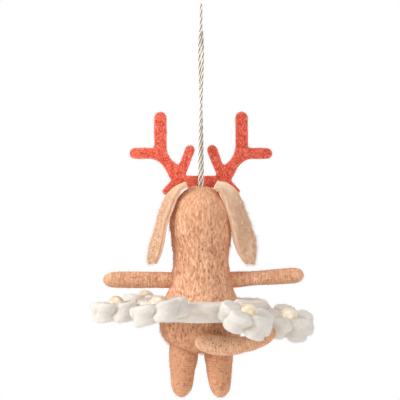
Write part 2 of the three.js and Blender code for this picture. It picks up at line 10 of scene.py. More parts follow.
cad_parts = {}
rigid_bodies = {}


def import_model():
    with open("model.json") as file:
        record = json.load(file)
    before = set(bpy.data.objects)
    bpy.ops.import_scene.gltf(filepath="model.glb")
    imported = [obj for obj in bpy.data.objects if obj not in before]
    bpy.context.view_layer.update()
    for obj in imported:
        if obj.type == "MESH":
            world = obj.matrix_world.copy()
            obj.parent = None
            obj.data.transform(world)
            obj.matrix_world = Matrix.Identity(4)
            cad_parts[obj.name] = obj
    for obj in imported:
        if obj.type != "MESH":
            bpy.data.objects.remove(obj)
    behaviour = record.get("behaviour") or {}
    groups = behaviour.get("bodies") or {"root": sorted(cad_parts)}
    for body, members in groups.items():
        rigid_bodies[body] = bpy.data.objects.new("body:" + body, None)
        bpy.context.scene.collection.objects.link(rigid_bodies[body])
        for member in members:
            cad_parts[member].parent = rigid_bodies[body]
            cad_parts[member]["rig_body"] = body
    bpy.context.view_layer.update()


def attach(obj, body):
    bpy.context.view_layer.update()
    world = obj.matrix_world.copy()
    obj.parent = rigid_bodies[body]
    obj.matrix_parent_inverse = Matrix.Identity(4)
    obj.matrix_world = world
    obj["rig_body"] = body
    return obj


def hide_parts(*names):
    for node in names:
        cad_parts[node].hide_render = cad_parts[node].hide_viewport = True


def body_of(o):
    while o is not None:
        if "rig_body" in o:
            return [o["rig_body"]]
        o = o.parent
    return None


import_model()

bl_info = {
    "name": "Felted dog ornament",
    "version": (1, 0, 0),
    "blender": (4, 5, 0),
    "location": "View3D > Sidebar > Ornament",
    "description": "Needle-felted dog with red antlers and a garland skirt, hung on a twisted cord",
    "category": "Object",
}

SIDES = {"left": 1, "right": -1}


def mm(*sizes):
    """Millimetres to metres."""
    metres = [size / 1000 for size in sizes]
    return metres[0] if len(metres) == 1 else Vector(metres)


# Sizes, as in the part's source, in mm

CROWN = -75.8
BODY_HEIGHT = 70.8
GIRTHS = {"head": (26.8, 25), "neck": (22.9, 20.5), "chest": (24.6, 21.5), "hip": (35.2, 30)}
# Share of the height below the crown, the girth that it follows, share of that girth
BODY_ROWS = [
    (0.004, "head", 0.19), (0.014, "head", 0.37), (0.04, "head", 0.61), (0.086, "head", 0.82),
    (0.145, "head", 0.945), (0.216, "head", 1), (0.294, "head", 0.96), (0.353, "neck", 1.04),
    (0.412, "neck", 1), (0.5, "chest", 0.97), (0.562, "chest", 1), (0.614, "chest", 1.08),
    (0.679, "hip", 0.885), (0.75, "hip", 0.965), (0.833, "hip", 1.005), (0.893, "hip", 0.935),
    (0.941, "hip", 0.805), (0.976, "hip", 0.575), (0.993, "hip", 0.305), (0.999, "hip", 0.12),
]
CORD_HOLE = (1.6, 14)  # radius and depth of the cutter
HOLE_MOUTH = (1.7, 5.6)  # the same, of the notch behind the hole
KNOT_HOLLOW_RADIUS = 3.2
CORD_DIAMETER = 1.15
PLY_SHARE = 0.26  # of the cord's diameter, from its middle out to a ply's middle
CORD_HALF = [
    (0.66, 0, -81.2), (0.66, 0, -76.4), (0.62, 0.3, -66.5), (0.45, 0.57, -56), (0.1, 0.72, -44.5),
    (-0.25, 0.68, -35.5), (-0.53, 0.5, -28), (-0.71, 0.15, -21), (-0.68, -0.3, -16.5),
    (-0.43, -0.68, -12.5), (-0.1, -1.1, -9), (0, -1.8, -6), (0, -2.35, -3.6), (0, -2.42, -1.6),
    (0, -1.75, -0.15),
]
CORD_TOP = (0, 0, 0.575)
KNOT_DROP = 84.2
KNOT_REACH = 0.72
KNOT_RISE = 0.9
SHOULDER = (12, 0, -115.59)
ARM_LENGTHS = {"left": 29.3, "right": 31.5}
RIGHT_ARM_LIFT = 3.8
HIP = (7.2, 0, -142.49)
LEG_LENGTH = 22.6
LEG_SPLAY = 3
TAIL_ROOT = (-1.5, 12.4, -140.58)
TAIL_SIZES = (28.4, 9.2, 5.8)
TAIL_LINE = [
    (0, 0, 0), (0.14, 0.53, -0.17), (0.32, 0.8, -0.22), (0.5, 0.93, -0.14), (0.69, 1, 0.02),
    (0.85, 0.98, 0.24), (0.955, 0.91, 0.55), (1, 0.85, 1),
]
TAIL_RADIUS = 4.1
TAIL_GIRTHS = [(0, 0.99), (0.25, 1), (0.45, 0.92), (0.7, 0.72), (0.86, 0.52), (1, 0.33)]
EAR_ROOT = (7.6, 4, -76.4)
EAR_LINE = [
    (0, 0), (0.206, 0.039), (0.412, 0.162), (0.58, 0.335), (0.718, 0.491), (0.824, 0.665),
    (0.939, 0.868), (1, 1),
]
EAR_REACH = 13.1
EAR_DROP = 31.6
EAR_WIDTH = 11
EAR_WIDTHS = [(0, 0.6), (0.2, 0.74), (0.5, 0.95), (0.72, 0.97), (0.86, 0.76), (0.94, 0.46), (1, 0.1)]
EAR_TUCK = 1.9
EAR_TURNS = {"left": 72, "right": 45}
EAR_LAYER_GAP = 0.5
ANTLER_SPAN = 60.9
ANTLER_HEIGHT = 32.2
TINE_WIDTH = 5.25
BAND_FOOT = -76.6
BAND_FRONT = -4.9
BAND_THICKNESS = 2.6
ANTLER_SWEEP = 5
# Share of half the span, share of the height, corner radius as a share of a tine's width
ANTLER_ROWS = [
    (0.303, 0, 0), (0.506, -0.104, 0.1), (0.549, -0.045, 0.1), (0.414, 0.093, 0), (0.532, 0.299, 0.4),
    (0.644, 0.379, 0.4), (1, 0.379, 0.48), (1, 0.524, 0.48), (0.652, 0.524, 0.2), (0.652, 1, 0.5),
    (0.48, 1, 0.5), (0.48, 0.49, 0.4), (0.426, 0.372, 0.4), (0.317, 0.294, 0.12), (0.281, 0.359, 0),
    (0.196, 0.577, 0.5), (0.066, 0.531, 0.5), (0.222, 0.154, 0.1),
]
SKIRT_LEVEL = -128.0
RING_RADIUS = 28.2
SKIRT_HEIGHT = 7.8
RING_ROUNDING = 1.5
FLOWER_DIAMETER = 23
PETALS = 5
PETAL_RADIUS = 0.22 * FLOWER_DIAMETER
FLOWER_MIDDLE = (7.2, 0.5, 1.4)  # radius, set-back from the petals' faces, rounding
PEARL_DIAMETER = 8.3
PEARL_LEVEL = 2.4
BORE = 1.1
THREAD = 0.5
THREAD_HALF = [
    (-4.7, 0, -3.6), (-4.85, 0, -1.5), (-4.9, 0, 0.6), (-4.75, 0, 1.8), (-4.3, 0, 2.3), (-3, 0, 2.4),
]
# Degrees from the back, of droop and of twist, lift as a share of the skirt's height, degrees of the
# petals' turn, share of the diameter
FLOWERS = [
    (30.5, 25, -8, 0.2, 10, 1.03), (82, 12, 20, -0.48, 32, 1.01), (135, 25, 0, -0.13, 0, 0.96),
    (180, 5, 0, 0, 36, 0.96), (-137, 0, 6, 0.06, 20, 0.9), (-79, 3, 0, 0, 43, 0.94),
    (-27, 4, 12, 0.2, 53, 1.06),
]
FLOWER_SEAT_SHARE = 0.37  # of its diameter, from the ring's edge out to its middle
MUZZLE = (12.4, 15, 9.6)
MUZZLE_SHARE = 0.27
MUZZLE_LEVEL = CROWN - MUZZLE_SHARE * BODY_HEIGHT
EYE_SHARE = 0.19
EYE_LEVEL = CROWN - EYE_SHARE * BODY_HEIGHT
EYE_SPACING = 11
EYE_RADIUS = 1.5
EYE_SHANK = 2.4
NOSE = (5.2, 3.6, 3.8)
NOSTRIL_RADIUS = 0.42
STITCH_RADIUS = 0.21


# Colours and nodes

def linear(code):
    """An sRGB hex value as linear red, green, blue and alpha."""
    parts = [int(code[i:i + 2], 16) / 255 for i in (0, 2, 4)]
    return [p / 12.92 if p <= 0.04045 else ((p + 0.055) / 1.055) ** 2.4 for p in parts] + [1]


def add_node(tree, kind, settings=None, inputs=None, output=0):
    """Adds a node with its settings and links, and returns the output asked for.

    An input takes a value, or a socket to link to.
    """
    made = tree.nodes.new(kind)
    for name, value in (settings or {}).items():
        setattr(made, name, value)
    for name, value in (inputs or {}).items():
        if isinstance(value, bpy.types.NodeSocket):
            tree.links.new(value, made.inputs[name])
        else:
            made.inputs[name].default_value = value
    return made.outputs[output] if made.outputs else None


def new_finish(name, **shader):
    """A material with its Principled shader; returns the material, its tree and the shader node."""
    material = bpy.data.materials.new(name)
    material.use_nodes = True
    tree = material.node_tree
    principled = tree.nodes["Principled BSDF"]
    for key, value in shader.items():
        principled.inputs[key.replace("_", " ")].default_value = value
    return material, tree, principled


# Hand tools

def choose(*pieces):
    """Selects these pieces alone, the first as the active one."""
    for thing in list(bpy.context.selected_objects):
        thing.select_set(False)
    for piece in pieces:
        piece.select_set(True)
    bpy.context.view_layer.objects.active = pieces[0] if pieces else None


def apply_modifier(piece, kind, **settings):
    """Adds a modifier with its settings and applies it."""
    choose(piece)
    modifier = piece.modifiers.new(kind.lower(), kind)
    for name, value in settings.items():
        setattr(modifier, name, value)
    bpy.ops.object.modifier_apply(modifier=modifier.name)
    return piece


def cut_away(piece, cutter):
    """Takes the cutter's volume out of the piece."""
    apply_modifier(piece, "BOOLEAN", operation="DIFFERENCE", solver="EXACT", object=cutter)
    bpy.data.objects.remove(cutter)
    return piece


def felt_together(piece, grain, smoothing=3):
    """Turns what was modelled into one even felted skin, with its edges softened."""
    apply_modifier(piece, "REMESH", mode="VOXEL", voxel_size=mm(grain))
    apply_modifier(piece, "SMOOTH", factor=0.5, iterations=smoothing)
    return piece


def add_lumps(piece, size, depth, stretch=(1, 1, 1), turn=(0, 0, 0), detail=1):
    """Uneven felting: lumps of a size in mm, stretched along the fibres."""
    texture = bpy.data.textures.new("lumps", "CLOUDS")
    texture.noise_scale = 1
    texture.noise_depth = detail
    bpy.ops.object.empty_add(rotation=[math.radians(angle) for angle in turn])
    lay = bpy.context.object
    lay.scale = [mm(size) * share for share in stretch]
    bpy.context.view_layer.update()
    apply_modifier(
        piece, "DISPLACE", texture=texture, texture_coords="OBJECT", texture_coords_object=lay,
        strength=mm(depth), mid_level=0.5)
    bpy.data.objects.remove(lay)
    bpy.data.textures.remove(texture)
    return piece


def finish_piece(piece, name, material, body, slot, *nodes):
    """Applies the place, names the piece and gives it its material and body; its slot is not used."""
    choose(piece)
    bpy.ops.object.transform_apply(location=True, rotation=True, scale=True)
    bpy.ops.object.shade_smooth()
    piece.name = piece.data.name = name
    piece.data.materials.clear()
    piece.data.materials.append(material)
    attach(piece, body)
    if nodes:
        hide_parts(*nodes)
    return piece


def copy_of(piece, name):
    """A copy with its own mesh."""
    twin = piece.copy()
    twin.data = piece.data.copy()
    twin.name = name
    bpy.context.collection.objects.link(twin)
    return twin


def grow_form(rings, sides=32):
    """A felted form grown ring by ring along Z from (level, half width, half depth, shift x, shift y)."""
    level, wide, deep, x, y = [*rings[0], 0, 0][:5]
    choose()
    bpy.ops.mesh.primitive_circle_add(
        vertices=sides, radius=mm(wide), fill_type="TRIFAN", location=mm(x, y, level))
    piece = bpy.context.object
    bpy.ops.object.mode_set(mode="EDIT")
    bpy.ops.mesh.select_all(action="SELECT")
    bpy.ops.transform.resize(value=(1, deep / wide, 1), center_override=mm(x, y, level))
    for ring in rings[1:]:
        next_level, next_wide, next_deep, next_x, next_y = [*ring, 0, 0][:5]
        step = mm(next_x - x, next_y - y, next_level - level)
        bpy.ops.mesh.extrude_region_move(TRANSFORM_OT_translate={"value": step})
        swell = (next_wide / wide, next_deep / deep, 1)
        bpy.ops.transform.resize(value=swell, center_override=mm(next_x, next_y, next_level))
        level, wide, deep, x, y = next_level, next_wide, next_deep, next_x, next_y
    bpy.ops.mesh.select_all(action="SELECT")
    bpy.ops.mesh.normals_make_consistent(inside=False)
    bpy.ops.object.mode_set(mode="OBJECT")
    choose(piece)
    bpy.ops.object.transform_apply(location=True, rotation=True, scale=True)
    return piece


def pick_faces(piece, wanted):
    """Selects the faces whose middle and normal the test picks, and nothing else."""
    choose(piece)
    bpy.ops.object.mode_set(mode="EDIT")
    bpy.ops.mesh.select_mode(type="FACE")
    bpy.ops.mesh.select_all(action="DESELECT")
    bpy.ops.object.mode_set(mode="OBJECT")
    for face in piece.data.polygons:
        face.select = wanted(face.center, face.normal)


def delete_faces(piece, unwanted):
    """Deletes the faces that the test picks."""
    pick_faces(piece, unwanted)
    bpy.ops.object.mode_set(mode="EDIT")
    bpy.ops.mesh.delete(type="FACE")
    bpy.ops.object.mode_set(mode="OBJECT")
    return piece


def points_of(piece):
    """The piece's points and their normals as arrays, in metres."""
    count = len(piece.data.vertices)
    places, normals = np.empty(count * 3), np.empty(count * 3)
    piece.data.vertices.foreach_get("co", places)
    piece.data.vertices.foreach_get("normal", normals)
    return places.reshape(-1, 3), normals.reshape(-1, 3)


def set_points(piece, places):
    """Moves the piece's points to these places, in metres."""
    piece.data.vertices.foreach_set("co", places.ravel())
    piece.data.update()


def set_attribute(piece, name, values):
    """A value or a vector for each point, for the material to read."""
    kind = "FLOAT" if values.ndim == 1 else "FLOAT_VECTOR"
    attribute = piece.data.attributes.new(name, kind, "POINT")
    attribute.data.foreach_set("value" if kind == "FLOAT" else "vector", values.ravel())


def mark_hollows(piece, reach=6):
    """Stores how deep each point lies in a crease, 0 to 1, as the attribute hollow, from which the finishes
    paint shade into creases, and the pressed felt a highlight on convex edges.
    """
    places, normals = points_of(piece)
    edges = np.empty(len(piece.data.edges) * 2, int)
    piece.data.edges.foreach_get("vertices", edges)
    ends = edges.reshape(-1, 2)
    count = np.bincount(edges, minlength=len(places))[:, None]

    def spread(values):
        total = np.zeros_like(values)
        np.add.at(total, ends[:, 0], values[ends[:, 1]])
        np.add.at(total, ends[:, 1], values[ends[:, 0]])
        return total / count

    smooth = places.copy()
    for _ in range(reach):
        smooth = (smooth + spread(smooth)) / 2
    rise = ((smooth - places) * normals).sum(1)[:, None]
    for _ in range(3):
        rise = (rise + spread(rise)) / 2
    set_attribute(piece, "hollow", np.clip(rise[:, 0] / mm(0.12), -1, 1) / 2 + 0.5)


# Curves

class SmoothLine:
    """The curve through a row of points, in mm, read by the share of its length."""

    def __init__(self, points, steps=24):
        points = [Vector(p) for p in points]
        first = points[0] * 2 - points[1]
        last = points[-1] * 2 - points[-2]
        row = [first, *points, last]
        self.points = [points[0]]
        for i in range(1, len(row) - 2):
            self.points += [self.between(row[i - 1:i + 3], k / steps) for k in range(1, steps + 1)]
        self.marks = [0]
        for a, b in zip(self.points, self.points[1:]):
            self.marks.append(self.marks[-1] + (b - a).length)
        self.length = self.marks[-1]

    @staticmethod
    def between(four, t):
        """A point between the middle two of four, at a share t of the way."""
        a, b, c, d = four
        gaps = [max((q - p).length, 1e-4) ** 0.5 for p, q in ((a, b), (b, c), (c, d))]
        m1 = (b - a) / gaps[0] - (c - a) / (gaps[0] + gaps[1]) + (c - b) / gaps[1]
        m2 = (c - b) / gaps[1] - (d - b) / (gaps[1] + gaps[2]) + (d - c) / gaps[2]
        m1, m2 = m1 * gaps[1], m2 * gaps[1]
        return (b * (2 * t ** 3 - 3 * t ** 2 + 1) + m1 * (t ** 3 - 2 * t ** 2 + t)
                + c * (-2 * t ** 3 + 3 * t ** 2) + m2 * (t ** 3 - t ** 2))

    def at(self, share):
        """The place at a share of the length."""
        here = min(max(share, 0), 1) * self.length
        i = min(int(np.searchsorted(self.marks, here, side="right")) - 1, len(self.points) - 2)
        part = (here - self.marks[i]) / (self.marks[i + 1] - self.marks[i])
        return self.points[i].lerp(self.points[i + 1], part)

    def along(self, share):
        """The way that the line goes at a share of its length."""
        step = 0.004
        return (self.at(share + step) - self.at(share - step)).normalized()


def read_table(table, share):
    """Linear reading of rows of (share, value)."""
    return float(np.interp(share, [row[0] for row in table], [row[1] for row in table]))


def add_strand(name, points, radii, sides=8):
    """A round strand along points in mm, a curve with a radius at each, made a closed mesh."""
    curve = bpy.data.curves.new(name, "CURVE")
    curve.dimensions = "3D"
    curve.bevel_depth = mm(1)
    curve.bevel_resolution = max(sides // 4 - 1, 0)
    curve.use_fill_caps = True
    spline = curve.splines.new("POLY")
    spline.points.add(len(points) - 1)
    for point, place, radius in zip(spline.points, points, radii):
        point.co = (*mm(*place), 1)
        point.radius = radius
    piece = bpy.data.objects.new(name, curve)
    bpy.context.collection.objects.link(piece)
    choose(piece)
    bpy.ops.object.convert(target="MESH")
    piece = bpy.context.object
    bpy.ops.object.mode_set(mode="EDIT")
    bpy.ops.mesh.select_all(action="SELECT")
    bpy.ops.mesh.remove_doubles(threshold=1e-7)
    bpy.ops.mesh.normals_make_consistent(inside=False)
    bpy.ops.object.mode_set(mode="OBJECT")
    return piece


def join_pieces(*pieces):
    """Joins pieces into the first one."""
    choose(*pieces)
    bpy.ops.object.join()
    return bpy.context.object


# Loose fibres

def fibre_blank(width_share, bend):
    """One loose fibre of unit height: three sides, one bend and a point, with its strip of the map."""
    choose()
    bpy.ops.mesh.primitive_circle_add(vertices=3, radius=width_share / 2, fill_type="NGON")
    fibre = bpy.context.object
    bpy.ops.object.mode_set(mode="EDIT")
    bpy.ops.mesh.select_all(action="SELECT")
    bpy.ops.mesh.extrude_region_move(TRANSFORM_OT_translate={"value": (bend * 0.3, 0, 0.5)})
    bpy.ops.mesh.extrude_region_move(TRANSFORM_OT_translate={"value": (bend * 0.7, 0, 0.5)})
    bpy.ops.mesh.merge(type="CENTER")
    bpy.ops.mesh.select_all(action="SELECT")
    bpy.ops.mesh.normals_make_consistent(inside=False)
    bpy.ops.object.mode_set(mode="OBJECT")
    mesh = fibre.data
    strip = mesh.uv_layers.new(name="OFBake")
    for face in mesh.polygons:
        across = face.normal.cross((0, 0, 1))
        for i in face.loop_indices:
            place = mesh.vertices[mesh.loops[i].vertex_index].co
            if across.length < 0.3:
                beside = place / width_share
                strip.data[i].uv = (0.5 + 0.8 * beside.x, 0.06 + 0.1 * beside.y)
                continue
            middle = Vector((bend * 0.3, 0, 0.5)) if place.z > 0.4 else Vector()
            out = 0 if place.z > 0.9 else (place - middle).dot(across.normalized()) / width_share
            strip.data[i].uv = (0.5 + 0.8 * out, place.z)
    return fibre


FIBRE_STRIPS = 64


def plant_fibres(source, name, finish, per_mm2, length, width, lift, lay=(0, 0, 0), wrap=(0, 0, 0),
                 ruffle=0.5, bend=0.25, seed=1, keep=None):
    """Loose fibres on a piece's skin, as a piece of their own, with length and width in mm.

    Lift is how far they stand up, lay the way they lie, and wrap the axis that they go round.
    """
    skin = copy_of(source, name)
    if keep:
        delete_faces(skin, lambda middle, normal: not keep(middle * 1000, normal))
    fibre = fibre_blank(width / length, bend)
    tree = bpy.data.node_groups.new(name, "GeometryNodeTree")
    for way in ("INPUT", "OUTPUT"):
        tree.interface.new_socket("Geometry", in_out=way, socket_type="NodeSocketGeometry")
    skin_points = add_node(tree, "GeometryNodeDistributePointsOnFaces", None, {
        "Mesh": add_node(tree, "NodeGroupInput"), "Density": per_mm2 * 1e6, "Seed": seed})
    normal = skin_points.node.outputs["Normal"]
    way = add_node(tree, "ShaderNodeVectorMath", {"operation": "SCALE"}, {0: normal, "Scale": lift})
    around = add_node(tree, "ShaderNodeVectorMath", {"operation": "CROSS_PRODUCT"}, {0: wrap, 1: normal})
    toss = add_node(tree, "FunctionNodeRandomValue", {"data_type": "FLOAT_VECTOR"}, {
        0: (-ruffle,) * 3, 1: (ruffle,) * 3, "Seed": seed + 1})
    for part in (around, lay, toss):
        way = add_node(tree, "ShaderNodeVectorMath", {"operation": "ADD"}, {0: way, 1: part})
    spin, tall, shade = [
        add_node(tree, "FunctionNodeRandomValue", {"data_type": "FLOAT"}, {
            2: least, 3: most, "Seed": seed + more}, 1)
        for least, most, more in (
            (0.0, 2 * math.pi, 2), (mm(length) * 0.55, mm(length) * 1.25, 3), (0.0, FIBRE_STRIPS - 0.01, 4))]
    turned = add_node(tree, "ShaderNodeCombineXYZ", None, {"Z": spin})
    start = add_node(tree, "FunctionNodeEulerToRotation", None, {0: turned})
    aimed = add_node(tree, "FunctionNodeAlignRotationToVector", {"axis": "Z"}, {
        "Rotation": start, "Vector": way})
    blank = add_node(tree, "GeometryNodeObjectInfo", None, {"Object": fibre}, "Geometry")
    planted = add_node(tree, "GeometryNodeInstanceOnPoints", None, {
        "Points": skin_points, "Instance": blank, "Rotation": aimed, "Scale": tall})
    shaded = add_node(tree, "GeometryNodeStoreNamedAttribute", {"data_type": "FLOAT", "domain": "INSTANCE"}, {
        "Geometry": planted, "Name": "shade", "Value": shade})
    real = add_node(tree, "GeometryNodeRealizeInstances", None, {"Geometry": shaded})
    strip = add_node(tree, "GeometryNodeInputNamedAttribute", {"data_type": "FLOAT"}, {"Name": "shade"})
    place = add_node(
        tree, "GeometryNodeInputNamedAttribute", {"data_type": "FLOAT_VECTOR"}, {"Name": "OFBake"})
    row = add_node(tree, "ShaderNodeCombineXYZ", None, {
        "X": add_node(tree, "ShaderNodeMath", {"operation": "FLOOR"}, {0: strip})})
    moved = add_node(tree, "ShaderNodeVectorMath", {"operation": "ADD"}, {0: row, 1: place})
    sized = add_node(tree, "ShaderNodeVectorMath", {"operation": "MULTIPLY"}, {
        0: moved, 1: (1 / FIBRE_STRIPS, 1, 1)})
    mapped = add_node(tree, "GeometryNodeStoreNamedAttribute", {"data_type": "FLOAT2", "domain": "CORNER"}, {
        "Geometry": real, "Name": "OFBake", "Value": sized})
    add_node(tree, "NodeGroupOutput", None, {0: mapped})
    apply_modifier(skin, "NODES", node_group=tree)
    bpy.data.objects.remove(fibre)
    bpy.data.node_groups.remove(tree)
    for layer in ("shade", "hollow", "wound", "pale"):
        if layer in skin.data.attributes:
            skin.data.attributes.remove(skin.data.attributes[layer])
    return finish_piece(skin, name, finish, body_of(source)[0], SLOTS[name.split("_fibres")[0]])


# Wound wool

def wind(piece, along, across, length, pitch, depth, tones, dimple=None):
    """Presses the turns of the wound wool into a limb, marks their grooves for painted shade, and notes the
    light and shade painted along it.

    Along and across are each point's place in mm, and tones are rows of mm along, and -1 painted shade to 1
    painted light.
    A dimple is its middle and how far it spreads, both in mm; it is pressed 0.05 mm and painted with shade.
    """
    places, normals = points_of(piece)
    angle = np.arctan2(across[:, 1], across[:, 0])
    wander = 0.35 * np.sin(along * 0.9 + 1.3) + 0.22 * np.sin(2 * angle + along * 0.4)
    turn = np.abs(np.sin(np.pi * (along / pitch + angle / (2 * np.pi) + wander))) ** 0.7
    firm = 0.55 + 0.45 * np.sin(along * 1.7 + 3 * np.sin(angle))
    fade = np.clip((length - along - 1) / 3, 0, 1) * np.clip((along + 1) / 2, 0, 1)
    press = depth * (turn - 0.75) * (0.5 + 0.5 * firm) * fade
    if dimple:
        mark, spread = np.array(dimple)
        press -= 0.05 * np.exp(-(((places * 1000 - mark) / spread) ** 2).sum(1))
    set_points(piece, places + normals * mm(1) * press[:, None])
    set_attribute(piece, "wound", np.column_stack([along, across]) / 1000)
    set_attribute(piece, "pale", np.interp(along, [row[0] for row in tones], [row[1] for row in tones]))
    # Marks painted shade in the grooves between the turns and in the dimple
    set_attribute(piece, "hollow", np.clip(0.5 - press / 0.12, 0, 1))
    return piece


def wind_straight(piece, root, way, length, pitch, depth, tones, dimple=None):
    """Winds a straight limb that starts at its root."""
    places, _ = points_of(piece)
    way = Vector(way).normalized()
    side = way.orthogonal().normalized()
    third = way.cross(side)
    away = places * 1000 - np.array(root)
    across = np.column_stack([away @ np.array(side), away @ np.array(third)])
    return wind(piece, away @ np.array(way), across, length, pitch, depth, tones, dimple)


def wind_along(piece, line, pitch, depth, tones):
    """Winds a limb that follows a line."""
    places, _ = points_of(piece)
    shares = np.linspace(0, 1, 120)
    points = np.array([line.at(share) for share in shares])
    ways = np.array([line.along(share) for share in shares])
    gaps = ((places[:, None] * 1000 - points[None]) ** 2).sum(2)
    near = gaps.argmin(1)
    away = places * 1000 - points[near]
    way = ways[near]
    beside = np.cross((0, 0, 1), way)
    beside /= np.linalg.norm(beside, axis=1)[:, None]
    above = np.cross(way, beside)
    along = shares[near] * line.length + (away * way).sum(1)
    across = np.column_stack([(away * beside).sum(1), (away * above).sum(1)])
    return wind(piece, along, across, line.length, pitch, depth, tones)


# Finishes

# How far noise is broken up: as wool is, and more softly
WOOLLY = {"Detail": 2.0, "Roughness": 0.6}
SOFT = {"Detail": 1.0, "Roughness": 0.6}


def lay_fibres(tree, stretch=(1, 1, 1), swirl=0.0, swirl_size=9.0):
    """Object coordinates stretched along the fibres, with their lay wandering by swirl mm."""
    place = add_node(tree, "ShaderNodeTexCoord", output="Object")
    if swirl:
        drift = add_node(tree, "ShaderNodeTexNoise", None, {
            "Vector": place, "Scale": 1 / mm(swirl_size), "Detail": 1.0}, "Color")
        place = add_node(tree, "ShaderNodeVectorMath", {"operation": "MULTIPLY_ADD"}, {
            0: drift, 1: (mm(swirl),) * 3, 2: place})
    return add_node(tree, "ShaderNodeMapping", None, {"Vector": place, "Scale": stretch})


def tinted(tree, tone, colour, pattern, low, high, most=1.0):
    """The tone, with a colour laid over it, up to a share of most, as a pattern goes from low to high."""
    share = add_node(tree, "ShaderNodeMapRange", None, {
        "Value": pattern, "From Min": low, "From Max": high, "To Max": most})
    return add_node(tree, "ShaderNodeMix", {"data_type": "RGBA"}, {0: share, 6: tone, 7: colour}, 2)


def paint_light_and_shade(tree, tone, light, shade):
    """Painted light and shade: lighter where the piece's attribute for them is above zero, darker where it is
    below.
    """
    pale = add_node(tree, "ShaderNodeAttribute", {"attribute_name": "pale"}, None, "Fac")
    tone = tinted(tree, tone, light, pale, 0, 1, 0.65)
    return tinted(tree, tone, shade, pale, 0, -1, 0.6)


def coloured(tree, shader, tone, height=None, strength=0.5, depth=0.2):
    """Links a colour to the shader, and relief where there is a height, its depth in mm."""
    tree.links.new(tone, shader.inputs["Base Color"])
    if height is not None:
        relief = add_node(tree, "ShaderNodeBump", None, {
            "Strength": strength, "Distance": mm(depth), "Height": height})
        tree.links.new(relief, shader.inputs["Normal"])


def wool_colours(tree, shader, strands, pits, clouds, colours, strength, depth):
    """Strand, needle hole and cloud patterns turned to colour and relief, with painted shade in creases and
    painted light and shade where the piece is marked for it.
    """
    light, base, shade, deep = colours
    hollow = add_node(tree, "ShaderNodeAttribute", {"attribute_name": "hollow"}, None, "Fac")
    tone = tinted(tree, shade, light, strands, 0.4, 0.61)
    tone = add_node(tree, "ShaderNodeMix", {"data_type": "RGBA"}, {0: 0.2, 6: tone, 7: base}, 2)
    tone = tinted(tree, tone, shade, clouds, 0.4, 0.7, 0.4)
    tone = paint_light_and_shade(tree, tone, light, shade)
    # Painted shade in creases and in the grooves between wound turns
    tone = tinted(tree, tone, deep, hollow, 0.55, 1, 0.7)
    tone = tinted(tree, tone, deep, pits, 0, 1, 0.95)
    height = add_node(tree, "ShaderNodeMath", {"operation": "SUBTRACT"}, {0: strands, 1: pits})
    coloured(tree, shader, tone, height, strength, depth)


def needle_felted_wool(colours):
    """Needle-felted wool: matt strands that run down the form, pricked with dark needle holes."""
    material, tree, shader = new_finish(
        "needle_felted_wool_tan", Roughness=0.95, Specular_IOR_Level=0.15, Sheen_Weight=0.25,
        Sheen_Roughness=0.6, Sheen_Tint=colours[0])
    # Strands about 0.8 mm wide show as streaks down the form
    strands = add_node(tree, "ShaderNodeTexNoise", None, {
        **WOOLLY, "Vector": lay_fibres(tree, (1, 1, 0.28), swirl=3), "Scale": 1 / mm(0.8), "Distortion": 0.4})
    clouds = add_node(tree, "ShaderNodeTexNoise", None, {
        **WOOLLY, "Vector": lay_fibres(tree, (1, 1, 0.6)), "Scale": 1 / mm(5)})
    # A needle hole every 1.15 mm, most of them on the neck and torso, and in patches
    cells = add_node(tree, "ShaderNodeTexVoronoi", None, {
        "Vector": lay_fibres(tree, (1, 1, 0.42), swirl=2.2, swirl_size=5), "Scale": 1 / mm(1.15)}, "Distance")
    place = add_node(tree, "ShaderNodeTexCoord", output="Object")
    level = add_node(tree, "ShaderNodeSeparateXYZ", None, {0: place}, 2)
    pits = 1.0
    for pattern, low, high, at_low, at_high in (
            (cells, 0.1, 0.38, 1, 0), (level, mm(CROWN - 8), mm(CROWN - 22), 0.25, 1),
            (clouds, 0.38, 0.58, 0.25, 1)):
        share = add_node(tree, "ShaderNodeMapRange", None, {
            "Value": pattern, "From Min": low, "From Max": high, "To Min": at_low, "To Max": at_high})
        pits = add_node(tree, "ShaderNodeMath", {"operation": "MULTIPLY"}, {0: pits, 1: share})
    wool_colours(tree, shader, strands, pits, clouds, colours, 0.7, 0.45)
    return material


def wound_wool(colours):
    """Wool wound round a wire: fine threads lie side by side across the limb, with loose wool over them."""
    material, tree, shader = new_finish(
        "wound_wool_tan", Roughness=0.95, Specular_IOR_Level=0.15, Sheen_Weight=0.25,
        Sheen_Roughness=0.6, Sheen_Tint=colours[0])
    place = add_node(tree, "ShaderNodeAttribute", {"attribute_name": "wound"}, None, "Vector")
    lay = add_node(tree, "ShaderNodeMapping", None, {"Vector": place, "Scale": (1, 0.14, 0.14)})
    threads = add_node(tree, "ShaderNodeTexNoise", None, {
        "Vector": lay, "Scale": 1 / mm(0.7), "Detail": 2.0, "Roughness": 0.5, "Distortion": 0.3})
    fuzz, clouds = [
        add_node(tree, "ShaderNodeTexNoise", None, {**WOOLLY, "Vector": place, "Scale": 1 / mm(size)})
        for size in (0.75, 3.5)]
    strands = add_node(tree, "ShaderNodeMix", {"data_type": "FLOAT"}, {0: 0.5, 2: threads, 3: fuzz})
    specks = add_node(tree, "ShaderNodeTexNoise", None, {**SOFT, "Vector": place, "Scale": 1 / mm(0.9)})
    pits = add_node(tree, "ShaderNodeMapRange", None, {
        "Value": specks, "From Min": 0.58, "From Max": 0.74, "To Max": 0.8})
    wool_colours(tree, shader, strands, pits, clouds, colours, 0.55, 0.3)
    return material


